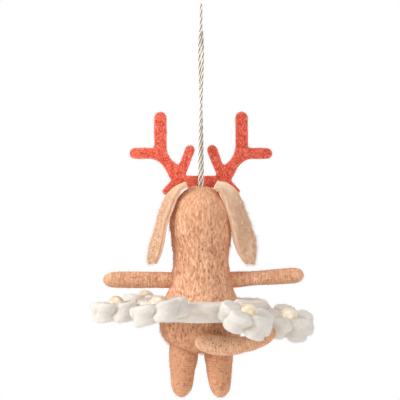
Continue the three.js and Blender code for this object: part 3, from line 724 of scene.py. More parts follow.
def pressed_felt(name, colours, mottle, fleck, contrast=0.8, crease=0.8, soak=0.0):
    """Pressed wool felt: short fibres in all directions give fine flecks; convex edges are lighter, partly
    fluffed cut edges and partly painted highlight, and hollows get painted shade.

    Mottle and fleck are sizes in mm, crease is how dark the painted shade in a hollow goes, and soak is how
    far light enters.
    """
    light, base, shade, deep = colours
    material, tree, shader = new_finish(
        name, Roughness=0.96, Specular_IOR_Level=0.12, Sheen_Weight=0.2, Sheen_Roughness=0.6,
        Sheen_Tint=light, Subsurface_Weight=soak, Subsurface_Scale=mm(2.5),
        Subsurface_Radius=(1.0, 0.9, 0.75))
    place = lay_fibres(tree)
    coarse = add_node(tree, "ShaderNodeTexNoise", None, {**WOOLLY, "Vector": place, "Scale": 1 / mm(mottle)})
    fine = add_node(tree, "ShaderNodeTexNoise", None, {
        "Vector": place, "Scale": 1 / mm(fleck), "Detail": 2.0, "Roughness": 0.7})
    threads = add_node(tree, "ShaderNodeTexNoise", None, {
        **SOFT, "Vector": lay_fibres(tree, (1, 1, 0.2), swirl=4, swirl_size=3), "Scale": 1 / mm(fleck)})
    hollow = add_node(tree, "ShaderNodeAttribute", {"attribute_name": "hollow"}, None, "Fac")
    tone = tinted(tree, shade, base, coarse, 0.35, 0.65)
    tone = tinted(tree, tone, light, fine, 0.5, 0.66, contrast)
    tone = tinted(tree, tone, shade, fine, 0.46, 0.34, contrast)
    tone = tinted(tree, tone, shade, threads, 0.56, 0.7, contrast * 0.7)
    tone = paint_light_and_shade(tree, tone, light, shade)
    # Painted highlight on convex edges, with their fluff, and painted shade in hollows
    tone = tinted(tree, tone, light, hollow, 0.46, 0.15, 0.6)
    tone = tinted(tree, tone, deep, hollow, 0.55, 1, crease)
    height = add_node(tree, "ShaderNodeMath", {"operation": "ADD"}, {0: fine, 1: coarse})
    coloured(tree, shader, tone, height)
    return material


def loose_wool(name, light, base, shade):
    """Single fibres: each strip of the map has its own tone, and the tips are paler."""
    material, tree, shader = new_finish(
        name, Roughness=0.9, Specular_IOR_Level=0.15, Sheen_Weight=0.2, Sheen_Tint=light)
    place = add_node(tree, "ShaderNodeUVMap", {"uv_map": "OFBake"})
    across = add_node(tree, "ShaderNodeSeparateXYZ", None, {0: place})
    along = across.node.outputs[1]
    strips = add_node(tree, "ShaderNodeMath", {"operation": "MULTIPLY"}, {0: across, 1: FIBRE_STRIPS})
    strip = add_node(tree, "ShaderNodeMath", {"operation": "FLOOR"}, {0: strips})
    chance = add_node(tree, "ShaderNodeTexWhiteNoise", {"noise_dimensions": "1D"}, {"W": strip})
    tone = tinted(tree, shade, base, chance, 0, 1)
    coloured(tree, shader, tinted(tree, tone, light, along, 0, 1, 0.6))
    return material


def twisted_cotton(light, shade, groove):
    """Three-ply twisted cotton: matt, with filaments along each ply and painted grey shade in the grooves."""
    material, tree, shader = new_finish(
        "twisted_cotton_cord", Roughness=0.85, Specular_IOR_Level=0.2, Sheen_Weight=0.2, Sheen_Tint=light)
    place = add_node(tree, "ShaderNodeAttribute", {"attribute_name": "wound"}, None, "Vector")
    lay = add_node(tree, "ShaderNodeMapping", None, {"Vector": place, "Scale": (0.12, 1, 1)})
    filaments = add_node(tree, "ShaderNodeTexNoise", None, {**SOFT, "Vector": lay, "Scale": 1 / mm(0.2)})
    hollow = add_node(tree, "ShaderNodeAttribute", {"attribute_name": "hollow"}, None, "Fac")
    tone = tinted(tree, light, shade, filaments, 0.35, 0.65, 0.5)
    # Painted shade in the grooves between the plies
    tone = tinted(tree, tone, groove, hollow, 0, 0.2, 0.95)
    coloured(tree, shader, tone, filaments, 0.5, 0.1)
    return material


def imitation_pearl(light, warm, sheen):
    """Imitation pearl: a glass bead dipped in pearl lacquer, satin under a clear gloss coat."""
    material, tree, shader = new_finish(
        "imitation_pearl_bead", Roughness=0.28, IOR=1.6, Coat_Weight=1.0, Coat_IOR=1.6, Coat_Roughness=0.06,
        Sheen_Weight=0.25, Sheen_Roughness=0.4, Sheen_Tint=sheen)
    clouds = add_node(tree, "ShaderNodeTexNoise", None, {
        **SOFT, "Vector": lay_fibres(tree), "Scale": 1 / mm(3.5)})
    coloured(tree, shader, tinted(tree, light, warm, clouds, 0.35, 0.65))
    return material


def dark_bead(colour, wave_colour):
    """Moulded glass or plastic bead: near black and polished, with faint moulding waves."""
    material, tree, shader = new_finish(
        "polished_dark_bead", Roughness=0.12, IOR=1.5, Coat_Weight=0.5, Coat_Roughness=0.03)
    waves = add_node(tree, "ShaderNodeTexNoise", None, {
        **SOFT, "Vector": lay_fibres(tree), "Scale": 1 / mm(1.5)})
    coloured(tree, shader, tinted(tree, colour, wave_colour, waves, 0.3, 0.7), waves, 0.1, 0.05)
    return material


def drawn_wire(dark, light):
    """Drawn steel wire: satin grey metal, faintly clouded by the die."""
    material, tree, shader = new_finish("drawn_steel_wire", Metallic=1.0, Roughness=0.35)
    clouds = add_node(tree, "ShaderNodeTexNoise", None, {
        **SOFT, "Vector": lay_fibres(tree), "Scale": 1 / mm(0.3)})
    coloured(tree, shader, tinted(tree, dark, light, clouds, 0.3, 0.7))
    return material


def spun_thread(name, light, shade):
    """Spun polyester sewing thread: fine lines of its twist, a slight gloss."""
    material, tree, shader = new_finish(name, Roughness=0.6, Specular_IOR_Level=0.35, Sheen_Weight=0.2)
    lines = add_node(tree, "ShaderNodeTexNoise", None, {
        **SOFT, "Vector": lay_fibres(tree, (1, 1, 0.3)), "Scale": 1 / mm(0.15)})
    coloured(tree, shader, tinted(tree, light, shade, lines, 0.4, 0.6))
    return material


# Settings a user would change

SLOTS = {
    "body": "tan_felt", "arm_left": "tan_felt", "arm_right": "tan_felt", "leg_left": "tan_felt",
    "leg_right": "tan_felt", "tail": "tan_felt", "muzzle": "tan_felt", "antler_headband": "red_felt",
    "skirt": "white_felt", "ear_left_fur": "ear_fur", "ear_right_fur": "ear_fur",
    "ear_left_fringe": "ear_fur", "ear_right_fringe": "ear_fur",
}


def colour_of(name, description, code):
    """A colour setting that starts from an sRGB hex value."""
    return FloatVectorProperty(
        name=name, description=description, subtype="COLOR", size=4, min=0, max=1, default=linear(code))


def length_of(name, description, size, most):
    """A length setting, its start and its upper limit given in mm."""
    return FloatProperty(
        name=name, description=description, default=mm(size), min=0, max=mm(most), unit="LENGTH",
        subtype="DISTANCE", precision=5)


class OrnamentColours(PropertyGroup):
    """The colours of the wool, the felt and the trimmings."""

    # Tan, light is also the painted light on the tail's root and the hands
    tan_light: colour_of("Tan, light", "Raised strands of the tan wool", "FACDAB")
    tan: colour_of("Tan", "The tan wool itself", "E8B08D")
    # Tan, shade is also the painted shade on the crown, hips, legs and shoulders, and in the ear linings'
    # creases
    tan_shade: colour_of("Tan, shade", "Strands that lie deeper", "C98D68")
    # Tan, deep: the needle holes, and painted shade in the wool's creases and between the wound turns
    tan_holes_and_crease_shade: colour_of("Tan, deep", "Needle holes and seams", "874A2B")
    # Red, light is also the painted highlight on the red felt's convex edges
    red_light: colour_of("Red, light", "Fluffed fibres and cut edges of the red felt", "F79A86")
    red: colour_of("Red", "The red felt itself", "DE634D")
    red_shade: colour_of("Red, shade", "Darker flecks of the red felt", "C23D2B")
    # Red, deep is painted shade in the red felt's creases
    red_crease_shade: colour_of("Red, deep", "Creases of the red felt", "9C3224")
    # White, light is also the painted highlight on the white felt's convex edges
    white_light: colour_of("White, light", "Fluffed fibres of the white felt", "DEDAD5")
    white: colour_of("White", "The white felt itself", "D9D3CC")
    white_shade: colour_of("White, shade", "Darker flecks of the white felt", "D7CFC6")
    # Ring white is white with painted warm shade, as the ring lies recessed between the flowers
    ring_white_in_shade: colour_of("Ring white", "The skirt's ring, a warmer white", "EDDECF")
    # White, deep is painted shade in the creases between the petals
    white_crease_shade: colour_of("White, deep", "Creases between the petals", "D2BF9F")
    # Ear fur, light is also painted light on the right ear and the painted highlight on the linings' edges
    fur_light: colour_of("Ear fur, light", "Tips of the ear fabric's pile", "FFF1E2")
    fur: colour_of("Ear fur", "Pile of the ear fabric", "F8D0AE")
    # Ear fur, shade is also painted shade on the left ear
    fur_shade: colour_of("Ear fur, shade", "Ground of the ear fabric", "EDBB95")
    lining: colour_of("Ear lining", "Felt under the ears", "EBC2AE")
    cord: colour_of("Cord", "The hanging cord", "FAF2E6")
    cord_shade: colour_of("Cord, shade", "Darker filaments of the cord", "C8BBA9")
    # Cord, groove is painted shade between the plies
    cord_groove_shade: colour_of("Cord, groove", "Between the plies of the cord", "6C6055")
    pearl: colour_of("Pearl", "Lacquer of the beads", "E8DBC3")
    pearl_warm: colour_of("Pearl, warm", "Warmer clouds in the lacquer", "D6BE92")
    pearl_sheen: colour_of("Pearl, sheen", "Glow at the beads' edges", "F0D8A8")
    bead: colour_of("Dark bead", "Eyes and nose", "17100D")
    bead_wave: colour_of("Dark bead, waves", "Faint waves in the eyes and nose", "3A2B24")
    wire: colour_of("Wire", "The wire cores", "8D8F92")
    wire_light: colour_of("Wire, light", "Lighter clouds on the wire cores", "A9ABAE")
    thread: colour_of("Thread", "Sewing thread of the pearls", "EFE9DC")
    thread_shade: colour_of("Thread, shade", "Twist lines of the sewing thread", "D8D0C0")
    mouth: colour_of("Mouth thread", "The stitched mouth", "5A3526")
    mouth_shade: colour_of("Mouth thread, shade", "Twist lines of the mouth's thread", "3E2317")


class OrnamentSizes(PropertyGroup):
    """How the wool and felt were worked."""

    wool_lumps: length_of("Wool lumps", "Depth of the uneven felting", 0.7, 2)
    strand_ridges: length_of("Strand ridges", "Depth of the ridges between wool strands", 0.42, 1)
    winding_pitch: length_of("Winding pitch", "Width of one turn of wound wool", 0.85, 3)
    winding_depth: length_of("Winding depth", "Depth between the turns of wound wool", 0.08, 0.5)
    ply_pitch: length_of("Ply pitch", "Length of one full twist of the cord", 9.2, 20)
    pile_length: length_of("Pile length", "Length of the ear fabric's pile", 1.7, 5)
    fuzz_length: length_of("Fuzz length", "Length of the loose fibres on felt", 0.9, 3)
    petal_round: length_of("Petal rounding", "Rounding of the petals' outer edges", 1.2, 3)
    seed: IntProperty(name="Seed", description="Start of the random spread of fibres", default=7, min=0)


def colours():
    """The scene's colour settings."""
    return bpy.context.scene.ornament_colours


def sizes():
    """The scene's size settings."""
    return bpy.context.scene.ornament_sizes


def size_of(name):
    """One of the sizes, in mm."""
    return getattr(sizes(), name) * 1000


def shades(*names):
    """These colours by name, as plain lists."""
    return [list(getattr(colours(), name)) for name in names]


FINISHES = {}


def mix_finishes():
    """All materials, made once from the colours."""
    tan = shades("tan_light", "tan", "tan_shade", "tan_holes_and_crease_shade")
    red = shades("red_light", "red", "red_shade", "red_crease_shade")
    white = shades("white_light", "white", "white_shade", "white_crease_shade")
    # The ring's white, with painted warm shade
    ring_in_shade = shades("white_light", "ring_white_in_shade", "white_shade", "white_crease_shade")
    fur = shades("fur_light", "fur", "fur_shade", "tan_shade")
    lining = shades("fur_light", "lining", "fur_shade", "tan_shade")
    FINISHES.update(
        wool=needle_felted_wool(tan), wound=wound_wool(tan),
        red=pressed_felt("pressed_wool_felt_red", red, mottle=2, fleck=0.55),
        white=pressed_felt(
            "pressed_wool_felt_white", white, mottle=2.4, fleck=0.8, contrast=0.6, crease=0.95, soak=0.5),
        ring=pressed_felt("pressed_wool_felt_cream", ring_in_shade, mottle=3, fleck=0.8, contrast=0.4, crease=0.5),
        fur=pressed_felt("pile_fabric_ground", fur, mottle=3, fleck=0.7, contrast=0.3, crease=0.2, soak=0.6),
        lining=pressed_felt("ear_lining_felt", lining, mottle=1.4, fleck=0.6, contrast=0.5, crease=0.5),
        wool_fibres=loose_wool("loose_wool_tan", *tan[:3]),
        red_fibres=loose_wool("loose_wool_red", *red[:3]),
        white_fibres=loose_wool("loose_wool_white", white[0], white[0], white[1]),
        pile=loose_wool("ear_fabric_pile", *fur[:3]),
        fringe=loose_wool("ear_fabric_fringe", fur[0], fur[0], fur[1]),
        cord=twisted_cotton(*shades("cord", "cord_shade", "cord_groove_shade")),
        pearl=imitation_pearl(*shades("pearl", "pearl_warm", "pearl_sheen")),
        bead=dark_bead(*shades("bead", "bead_wave")), wire=drawn_wire(*shades("wire", "wire_light")),
        thread=spun_thread("spun_sewing_thread", *shades("thread", "thread_shade")),
        mouth=spun_thread("brown_stitching_thread", *shades("mouth", "mouth_shade")))


# Camera, cord and stage

CAMERA_PLACE = (0.42, 750, -81.9)
LENS_LENGTH = 160
ROOM_LIGHT = 0.34  # of the white room on the ornament, where 1 is white
# Name, place and side in metres, watts
LAMPS = [
    ("key_light", (1.0, 0.42, 0.31), 0.5, 9.3), ("fill_light", (-0.55, 0.95, 0.3), 0.9, 4.7),
    ("front_light", (-0.35, -1.0, 0.35), 0.8, 6.5), ("top_light", (0.1, 0.1, 0.9), 0.8, 2.6),
    ("catch_light", (0.757, 0.479, 0.464), 0.14, 1.2),
]
LAMP_AIM = (0, 0, -95)
FLOOR_RADIUS = 2.2
FLOOR_LEVEL = -0.252


class ORNAMENT_OT_camera(Operator):
    """Sets the camera where the photograph was taken from, level and straight behind"""

    bl_idname = "ornament.camera"
    bl_label = "Camera"

    def execute(self, context):
        bpy.ops.object.camera_add(location=mm(*CAMERA_PLACE), rotation=(math.pi / 2, 0, math.pi))
        camera = context.object
        camera.name = "photo_camera"
        camera.data.lens = LENS_LENGTH
        camera.data.sensor_width = 36
        camera.data.clip_start = 0.01
        context.scene.camera = camera
        return {"FINISHED"}


def cord_line():
    """The loop's line: up one strand, round the top and down the other."""
    other = [(-x, -y, z) for x, y, z in reversed(CORD_HALF)]
    return SmoothLine([*CORD_HALF, CORD_TOP, *other])


def knot_line():
    """A trefoil knot under the crown."""
    turns = [2 * math.pi * i / 90 for i in range(91)]
    return SmoothLine([
        (KNOT_REACH * (math.sin(t) + 2 * math.sin(2 * t)), KNOT_REACH * (math.cos(t) - 2 * math.cos(2 * t)),
         -KNOT_DROP - KNOT_RISE * math.sin(3 * t)) for t in turns], 2)


def twist_plies(name, line, diameter, pitch, step=0.35):
    """Three plies twisted round a line, with their filaments marked and their grooves marked for painted
    shade.
    """
    count = int(line.length / step)
    plies = 3
    ply = diameter * PLY_SHARE
    frame_side = Vector((0, 1, 0))
    rows = [[] for _ in range(plies)]
    centres = []
    for i in range(count + 1):
        share = i / count
        middle, way = line.at(share), line.along(share)
        frame_side = (frame_side - way * frame_side.dot(way)).normalized()
        angle = 2 * math.pi * share * line.length / pitch
        ends = min(1, min(i, count - i) / 3 + 0.4)
        centres.append(middle)
        for k, row in enumerate(rows):
            out = Matrix.Rotation(angle + 2 * math.pi * k / plies, 3, way) @ frame_side
            row.append(middle + out * ply * ends)
    strands = [add_strand(name, row, [ply * 1.06] * len(row), 12) for row in rows]
    cord = join_pieces(*strands)
    places, _ = points_of(cord)
    centres = np.array(centres)
    near = ((places[:, None] * 1000 - centres[None]) ** 2).sum(2).argmin(1)
    reach = np.linalg.norm(places * 1000 - centres[near], axis=1)
    # Marks the grooves near the cord's middle for painted shade
    set_attribute(cord, "hollow", np.clip(1 - reach / (diameter * 0.48), 0, 1))
    marks = np.column_stack([near * line.length / count, places[:, 0] * 1000, places[:, 1] * 1000])
    set_attribute(cord, "wound", marks / 1000)
    return cord


class ORNAMENT_OT_cord(Operator):
    """Twists the hanging cord's loop and ties its knot inside the head"""

    bl_idname = "ornament.cord"
    bl_label = "Cord and knot"

    def execute(self, context):
        line = cord_line()
        pitch = size_of("ply_pitch")
        cord = twist_plies("hanging_cord_twist", line, CORD_DIAMETER, pitch)
        finish_piece(cord, "hanging_cord_twist", FINISHES["cord"], "hanger", "cord", "hanging_cord")
        knot = twist_plies("cord_knot_tied", knot_line(), CORD_DIAMETER, pitch)
        finish_piece(knot, "cord_knot_tied", FINISHES["cord"], "hanger", "cord", "cord_knot")
        path = [mm(*line.at(i / 120)) for i in range(121)]
        return {"FINISHED"}


class ORNAMENT_OT_stage(Operator):
    """Lays the matt white floor and sets the studio light"""

    bl_idname = "ornament.stage"
    bl_label = "Stage and light"

    def execute(self, context):
        scene = context.scene
        scene.view_settings.view_transform = "Standard"
        self.light_world(scene)
        choose()
        bpy.ops.mesh.primitive_circle_add(
            vertices=96, radius=FLOOR_RADIUS, fill_type="NGON", location=(0, 0, FLOOR_LEVEL))
        floor = context.object
        floor.name = "studio_floor"
        floor.data.materials.append(self.floor_paint())
        aim = mm(*LAMP_AIM)
        for name, place, size, power in LAMPS:
            bpy.ops.object.light_add(type="AREA", location=place)
            lamp = context.object
            lamp.name = name
            lamp.data.size = size
            lamp.data.energy = power
            lamp.rotation_euler = (lamp.location - aim).to_track_quat("Z", "Y").to_euler()
            lamp.visible_glossy = name != "front_light"  # else it rims the pearls white
        return {"FINISHED"}

    @staticmethod
    def light_world(scene):
        """A soft even room that the camera, gloss and glass see as a white sweep."""
        world = bpy.data.worlds.new("white_room")
        scene.world = world
        world.use_nodes = True
        tree = world.node_tree
        seen = add_node(tree, "ShaderNodeLightPath", output="Is Camera Ray")
        rays = seen.node.outputs
        for name in ("Is Glossy Ray", "Is Transmission Ray"):
            seen = add_node(tree, "ShaderNodeMath", {"operation": "MAXIMUM"}, {0: seen, 1: rays[name]})
        strength = add_node(tree, "ShaderNodeMapRange", None, {
            "Value": seen, "To Min": ROOM_LIGHT, "To Max": 1.0})
        back = tree.nodes["Background"]
        back.inputs["Color"].default_value = (1, 1, 1, 1)
        tree.links.new(strength, back.inputs["Strength"])

    @staticmethod
    def floor_paint():
        """Matt white painted board that goes over into the white of the room away from the ornament."""
        material, tree, shader = new_finish("matt_white_board", Roughness=0.9, Specular_IOR_Level=0.1)
        place = lay_fibres(tree)
        specks = add_node(tree, "ShaderNodeTexNoise", None, {**WOOLLY, "Vector": place, "Scale": 1 / mm(4)})
        coloured(tree, shader, tinted(tree, linear("F3F2EF"), linear("F8F7F5"), specks, 0.3, 0.7))
        white = add_node(tree, "ShaderNodeEmission", None, {"Color": (1, 1, 1, 1), "Strength": 1.0})
        away = add_node(tree, "ShaderNodeVectorMath", {"operation": "LENGTH"}, {0: place}, "Value")
        share = add_node(tree, "ShaderNodeMapRange", None, {
            "Value": away, "From Min": 0.28, "From Max": 0.55})
        both = add_node(tree, "ShaderNodeMixShader", None, {0: share, 1: shader.outputs[0], 2: white})
        tree.links.new(both, tree.nodes["Material Output"].inputs["Surface"])
        return material


# Body and limbs

def body_rings(extra=0.0):
    """The rings of the head and torso, larger all round by extra mm."""
    return [
        (CROWN - share * BODY_HEIGHT, *(girth / 2 * part + extra for girth in GIRTHS[name]))
        for share, name, part in BODY_ROWS]


def head_half_depth(share):
    """From the body's middle to its front, at a share of its height below the crown."""
    rows = [(0, 0), *((row[0], GIRTHS[row[1]][1] / 2 * row[2]) for row in BODY_ROWS)]
    return read_table(rows, share)


class ORNAMENT_OT_body(Operator):
    """Felts the head and torso as one form, with the hole for the cord"""

    bl_idname = "ornament.body"
    bl_label = "Head and torso"

    def execute(self, context):
        body = grow_form(body_rings(), 40)
        apply_modifier(body, "SUBSURF", levels=1, render_levels=1)
        for (radius, depth), place, lean in (
                (CORD_HOLE, (0, 0, CROWN - 3), 0), (HOLE_MOUTH, (0, 1.4, CROWN + 0.4), -0.6)):
            bpy.ops.mesh.primitive_cylinder_add(
                vertices=32, radius=mm(radius), depth=mm(depth), location=mm(*place), rotation=(lean, 0, 0))
            cut_away(body, context.object)
        bpy.ops.mesh.primitive_uv_sphere_add(
            segments=32, ring_count=20, radius=mm(KNOT_HOLLOW_RADIUS), location=mm(0, 0, -KNOT_DROP))
        cut_away(body, context.object)
        felt_together(body, 0.36, 2)
        add_lumps(body, 7, size_of("wool_lumps"), detail=0)
        add_lumps(body, 1.3, size_of("strand_ridges"), (0.9, 0.9, 2.8), (8, 5, 0), 1)
        mark_hollows(body)
        places, _ = points_of(body)
        # Painted shade on the crown and on the hips under the skirt
        levels = [CROWN - 62, CROWN - 56, CROWN - 18, CROWN - 4]
        set_attribute(body, "pale", np.interp(places[:, 2] * 1000, levels, [-0.6, 0, -0.1, -0.6]))
        finish_piece(body, "body_felt", FINISHES["wool"], "figure", "tan_felt", "body")
        plant_fibres(
            body, "body_fibres", FINISHES["wool_fibres"], per_mm2=2.4, length=1.7, width=0.075, lift=0.16,
            lay=(0, 0, -1), wrap=(0, 0, 0.35), bend=0.3, seed=sizes().seed,
            keep=lambda middle, normal: middle.z < CROWN + 0.2 and math.hypot(middle.x, middle.y - 1) > 2.9)
        return {"FINISHED"}


class ORNAMENT_OT_face(Operator):
    """Adds the muzzle, nose, eyes and a stitched mouth on the side that the photograph hides"""

    bl_idname = "ornament.face"
    bl_label = "Face"

    def execute(self, context):
        front = -head_half_depth(MUZZLE_SHARE)
        choose()
        bpy.ops.mesh.primitive_uv_sphere_add(
            segments=40, ring_count=24, radius=1, location=mm(0, front, MUZZLE_LEVEL))
        muzzle = context.object
        muzzle.scale = mm(*MUZZLE) / 2
        bpy.ops.object.transform_apply(location=True, rotation=True, scale=True)
        felt_together(muzzle, 0.3, 2)
        add_lumps(muzzle, 4, 0.3, detail=0)
        add_lumps(muzzle, 1.2, 0.2, (0.9, 2.2, 0.9), detail=1)
        mark_hollows(muzzle)
        finish_piece(muzzle, "muzzle_felt", FINISHES["wool"], "figure", "tan_felt", "muzzle")
        plant_fibres(
            muzzle, "muzzle_fibres", FINISHES["wool_fibres"], per_mm2=3, length=1.2, width=0.07, lift=0.2,
            lay=(0, 0.9, -0.3), seed=sizes().seed + 1,
            keep=lambda middle, normal: middle.y < front - 0.5 and not (
                abs(middle.x) < 3 and middle.z > MUZZLE_LEVEL - 3.6 and middle.y < front - 5.6))
        self.add_nose(context, front)
        self.add_eyes(context)
        self.add_mouth(front)
        return {"FINISHED"}

    @staticmethod
    def add_nose(context, front):
        """A rounded bead, broad at the top and narrow below, with two nostrils."""
        centre = (0, front - 7.5, MUZZLE_LEVEL + 1.9)
        choose()
        bpy.ops.mesh.primitive_uv_sphere_add(segments=40, ring_count=24, radius=1, location=mm(*centre))
        nose = context.object
        nose.scale = mm(*NOSE) / 2
        bpy.ops.object.transform_apply(location=True, rotation=True, scale=True)
        places, _ = points_of(nose)
        low = np.clip((mm(centre[2]) - places[:, 2]) / mm(NOSE[2] / 2), 0, 1)
        places[:, 0] *= 1 - 0.3 * low
        set_points(nose, places)
        for side in SIDES.values():
            choose()
            bpy.ops.mesh.primitive_uv_sphere_add(
                segments=16, ring_count=10, radius=mm(NOSTRIL_RADIUS),
                location=mm(side, centre[1] - 1.55, centre[2] - 0.35))
            cut_away(nose, context.object)
        felt_together(nose, 0.12, 4)
        finish_piece(nose, "nose_bead", FINISHES["bead"], "figure", "dark_bead", "nose")

    @staticmethod
    def add_eyes(context):
        """Round beads on a shank that goes into the head."""
        forward = head_half_depth(EYE_SHARE) * math.sqrt(1 - (EYE_SPACING / GIRTHS["head"][0]) ** 2)
        for name, side in SIDES.items():
            choose()
            bpy.ops.mesh.primitive_uv_sphere_add(
                segments=32, ring_count=20, radius=mm(EYE_RADIUS), rotation=(math.pi / 2, 0, 0),
                location=mm(side * EYE_SPACING / 2, -forward, EYE_LEVEL))
            eye = context.object
            bpy.ops.object.transform_apply(location=True, rotation=True, scale=True)
            pick_faces(eye, lambda middle, normal: middle.y > mm(-forward + 0.92 * EYE_RADIUS))
            bpy.ops.object.mode_set(mode="EDIT")
            bpy.ops.mesh.extrude_region_move(TRANSFORM_OT_translate={"value": mm(0, EYE_SHANK, 0)})
            bpy.ops.object.mode_set(mode="OBJECT")
            finish_piece(eye, f"eye_{name}_bead", FINISHES["bead"], "figure", "dark_bead", f"eye_{name}")

    @staticmethod
    def add_mouth(front):
        """A plain stitched line from the nose, parting to both sides."""
        def on_muzzle(x, z):
            """The muzzle's skin at a place across and up from its middle."""
            flat = 1 - (x / (MUZZLE[0] / 2)) ** 2 - (z / (MUZZLE[2] / 2)) ** 2
            return (x, front - MUZZLE[1] / 2 * math.sqrt(max(flat, 0.02)) - 0.02, MUZZLE_LEVEL + z)

        rows = [[on_muzzle(0, 0.4 - 0.22 * i) for i in range(9)]]
        for side in SIDES.values():
            rows.append([
                on_muzzle(side * 0.32 * i, -1.36 - math.sin(0.27 * i) + 0.03 * i ** 2)
                for i in range(9)])
        strands = []
        for row in rows:
            points = SmoothLine(row, 6).points
            strands.append(add_strand("mouth", points, [STITCH_RADIUS] * len(points)))
        mouth = join_pieces(*strands)
        finish_piece(mouth, "mouth_stitches", FINISHES["mouth"], "figure", "dark_bead")


def stand_limb(limb, root, way):
    """Turns a limb that was grown along Z into its direction, and sets it on its joint."""
    limb.rotation_euler = Vector((0, 0, 1)).rotation_difference(Vector(way)).to_euler()
    limb.location = mm(*root)
    choose(limb)
    bpy.ops.object.transform_apply(location=True, rotation=True, scale=True)


class ORNAMENT_OT_arms(Operator):
    """Winds the two arms"""

    bl_idname = "ornament.arms"
    bl_label = "Arms"

    # Millimetres along from the shoulder, half the girth there
    SHOULDER_END = [(-3.3, 0.9), (-2.7, 2.2), (-1.4, 3.1), (0, 3.4)]
    HALF_GIRTHS = {
        "left": [*SHOULDER_END, (4, 3.4), (9, 3.45), (15, 3.55), (20, 3.55), (24, 3.4), (26, 3.2),
                 (27.4, 2.75), (28.4, 2.1), (29.05, 1.2), (29.3, 0.4)],
        "right": [*SHOULDER_END, (4, 3.35), (8, 3.1), (13, 3.0), (18, 3.12), (23, 3.28), (27.6, 3.3),
                  (29.4, 2.9), (30.5, 2.2), (31.2, 1.3), (31.5, 0.4)],
    }

    def execute(self, context):
        for name, side in SIDES.items():
            lift = math.radians(RIGHT_ARM_LIFT) if side < 0 else 0
            way = (side * math.cos(lift), 0, math.sin(lift))
            root = (side * SHOULDER[0], 0, SHOULDER[2])
            arm = grow_form([(level, girth, girth) for level, girth in self.HALF_GIRTHS[name]], 24)
            apply_modifier(arm, "SUBSURF", levels=1, render_levels=1)
            stand_limb(arm, root, way)
            felt_together(arm, 0.2, 2)
            add_lumps(arm, 4, 0.35, (2, 1, 1), detail=0)
            pitch, depth = size_of("winding_pitch"), size_of("winding_depth")
            length = ARM_LENGTHS[name]
            x, y, z = [start + along * (length - 4) for start, along in zip(root, way)]
            # The pinch is pressed 0.05 mm and painted darker as shade
            dimple = ((x, y + 3.2, z + 0.6), (0.35, 3, 1.4)) if side > 0 else None  # a pinch in the wool
            # Painted shade near the shoulder and painted light at the hand
            tones = [(2, -0.6), (9, 0), (length - 5, -0.2), (length, 0.3)]
            wind_straight(arm, root, way, length, pitch, depth, tones, dimple)
            finish_piece(arm, f"arm_{name}_felt", FINISHES["wound"], "arm_" + name, "tan_felt", "arm_" + name)
            plant_fibres(
                arm, f"arm_{name}_fibres", FINISHES["wool_fibres"], per_mm2=2.6, length=1.1, width=0.06,
                lift=0.2, wrap=way, ruffle=0.35, seed=sizes().seed + 2 + side,
                keep=lambda middle, normal: abs(middle.x) > SHOULDER[0] + 3.5)
        return {"FINISHED"}


class ORNAMENT_OT_legs(Operator):
    """Winds the two legs"""

    bl_idname = "ornament.legs"
    bl_label = "Legs"

    # Millimetres along from the hip, half the girth there
    HALF_GIRTHS = [
        (-6.1, 1.4), (-5.2, 3.5), (-3.2, 5.3), (0, 6.2), (4.6, 6.25), (8, 5.85), (11.6, 5.35), (15, 4.95),
        (17.5, 4.6), (19.6, 3.95), (21.2, 2.95), (22.2, 1.7), (22.6, 0.55)]

    def execute(self, context):
        for name, side in SIDES.items():
            splay = math.radians(LEG_SPLAY)
            way = (side * math.sin(splay), 0, -math.cos(splay))
            root = (side * HIP[0], 0, HIP[2])
            leg = grow_form([(level, girth, girth) for level, girth in self.HALF_GIRTHS], 28)
            apply_modifier(leg, "SUBSURF", levels=1, render_levels=1)
            stand_limb(leg, root, way)
            felt_together(leg, 0.23, 2)
            add_lumps(leg, 5, 0.45, detail=0)
            pitch, depth = size_of("winding_pitch"), size_of("winding_depth")
            x, y, z = [start + along * 18.4 for start, along in zip(root, way)]
            # The pinch is pressed 0.05 mm and painted darker as shade
            dimple = ((x - 0.6, y + 4.3, z), (0.9, 2, 0.8)) if side < 0 else None  # a pinch near the toe
            # Painted shade down the whole leg, under the skirt
            tones = [(2, -1), (6, -0.9), (12, -1), (18, -0.9), (22, -0.4)]
            wind_straight(leg, root, way, LEG_LENGTH, pitch, depth * 0.6, tones, dimple)
            finish_piece(leg, f"leg_{name}_felt", FINISHES["wound"], "leg_" + name, "tan_felt", "leg_" + name)
            plant_fibres(
                leg, f"leg_{name}_fibres", FINISHES["wool_fibres"], per_mm2=2.4, length=1.2, width=0.065,
                lift=0.2, wrap=way, ruffle=0.4, seed=sizes().seed + 5 + side,
                keep=lambda middle, normal: middle.z < HIP[2] - 5)
        return {"FINISHED"}


def tail_line():
    """The tail's line, from its root to its curled tip."""
    right, back, lift = TAIL_SIZES
    x, y, z = TAIL_ROOT
    return SmoothLine([(x - a * right, y + b * back, z + c * lift) for a, b, c in TAIL_LINE])


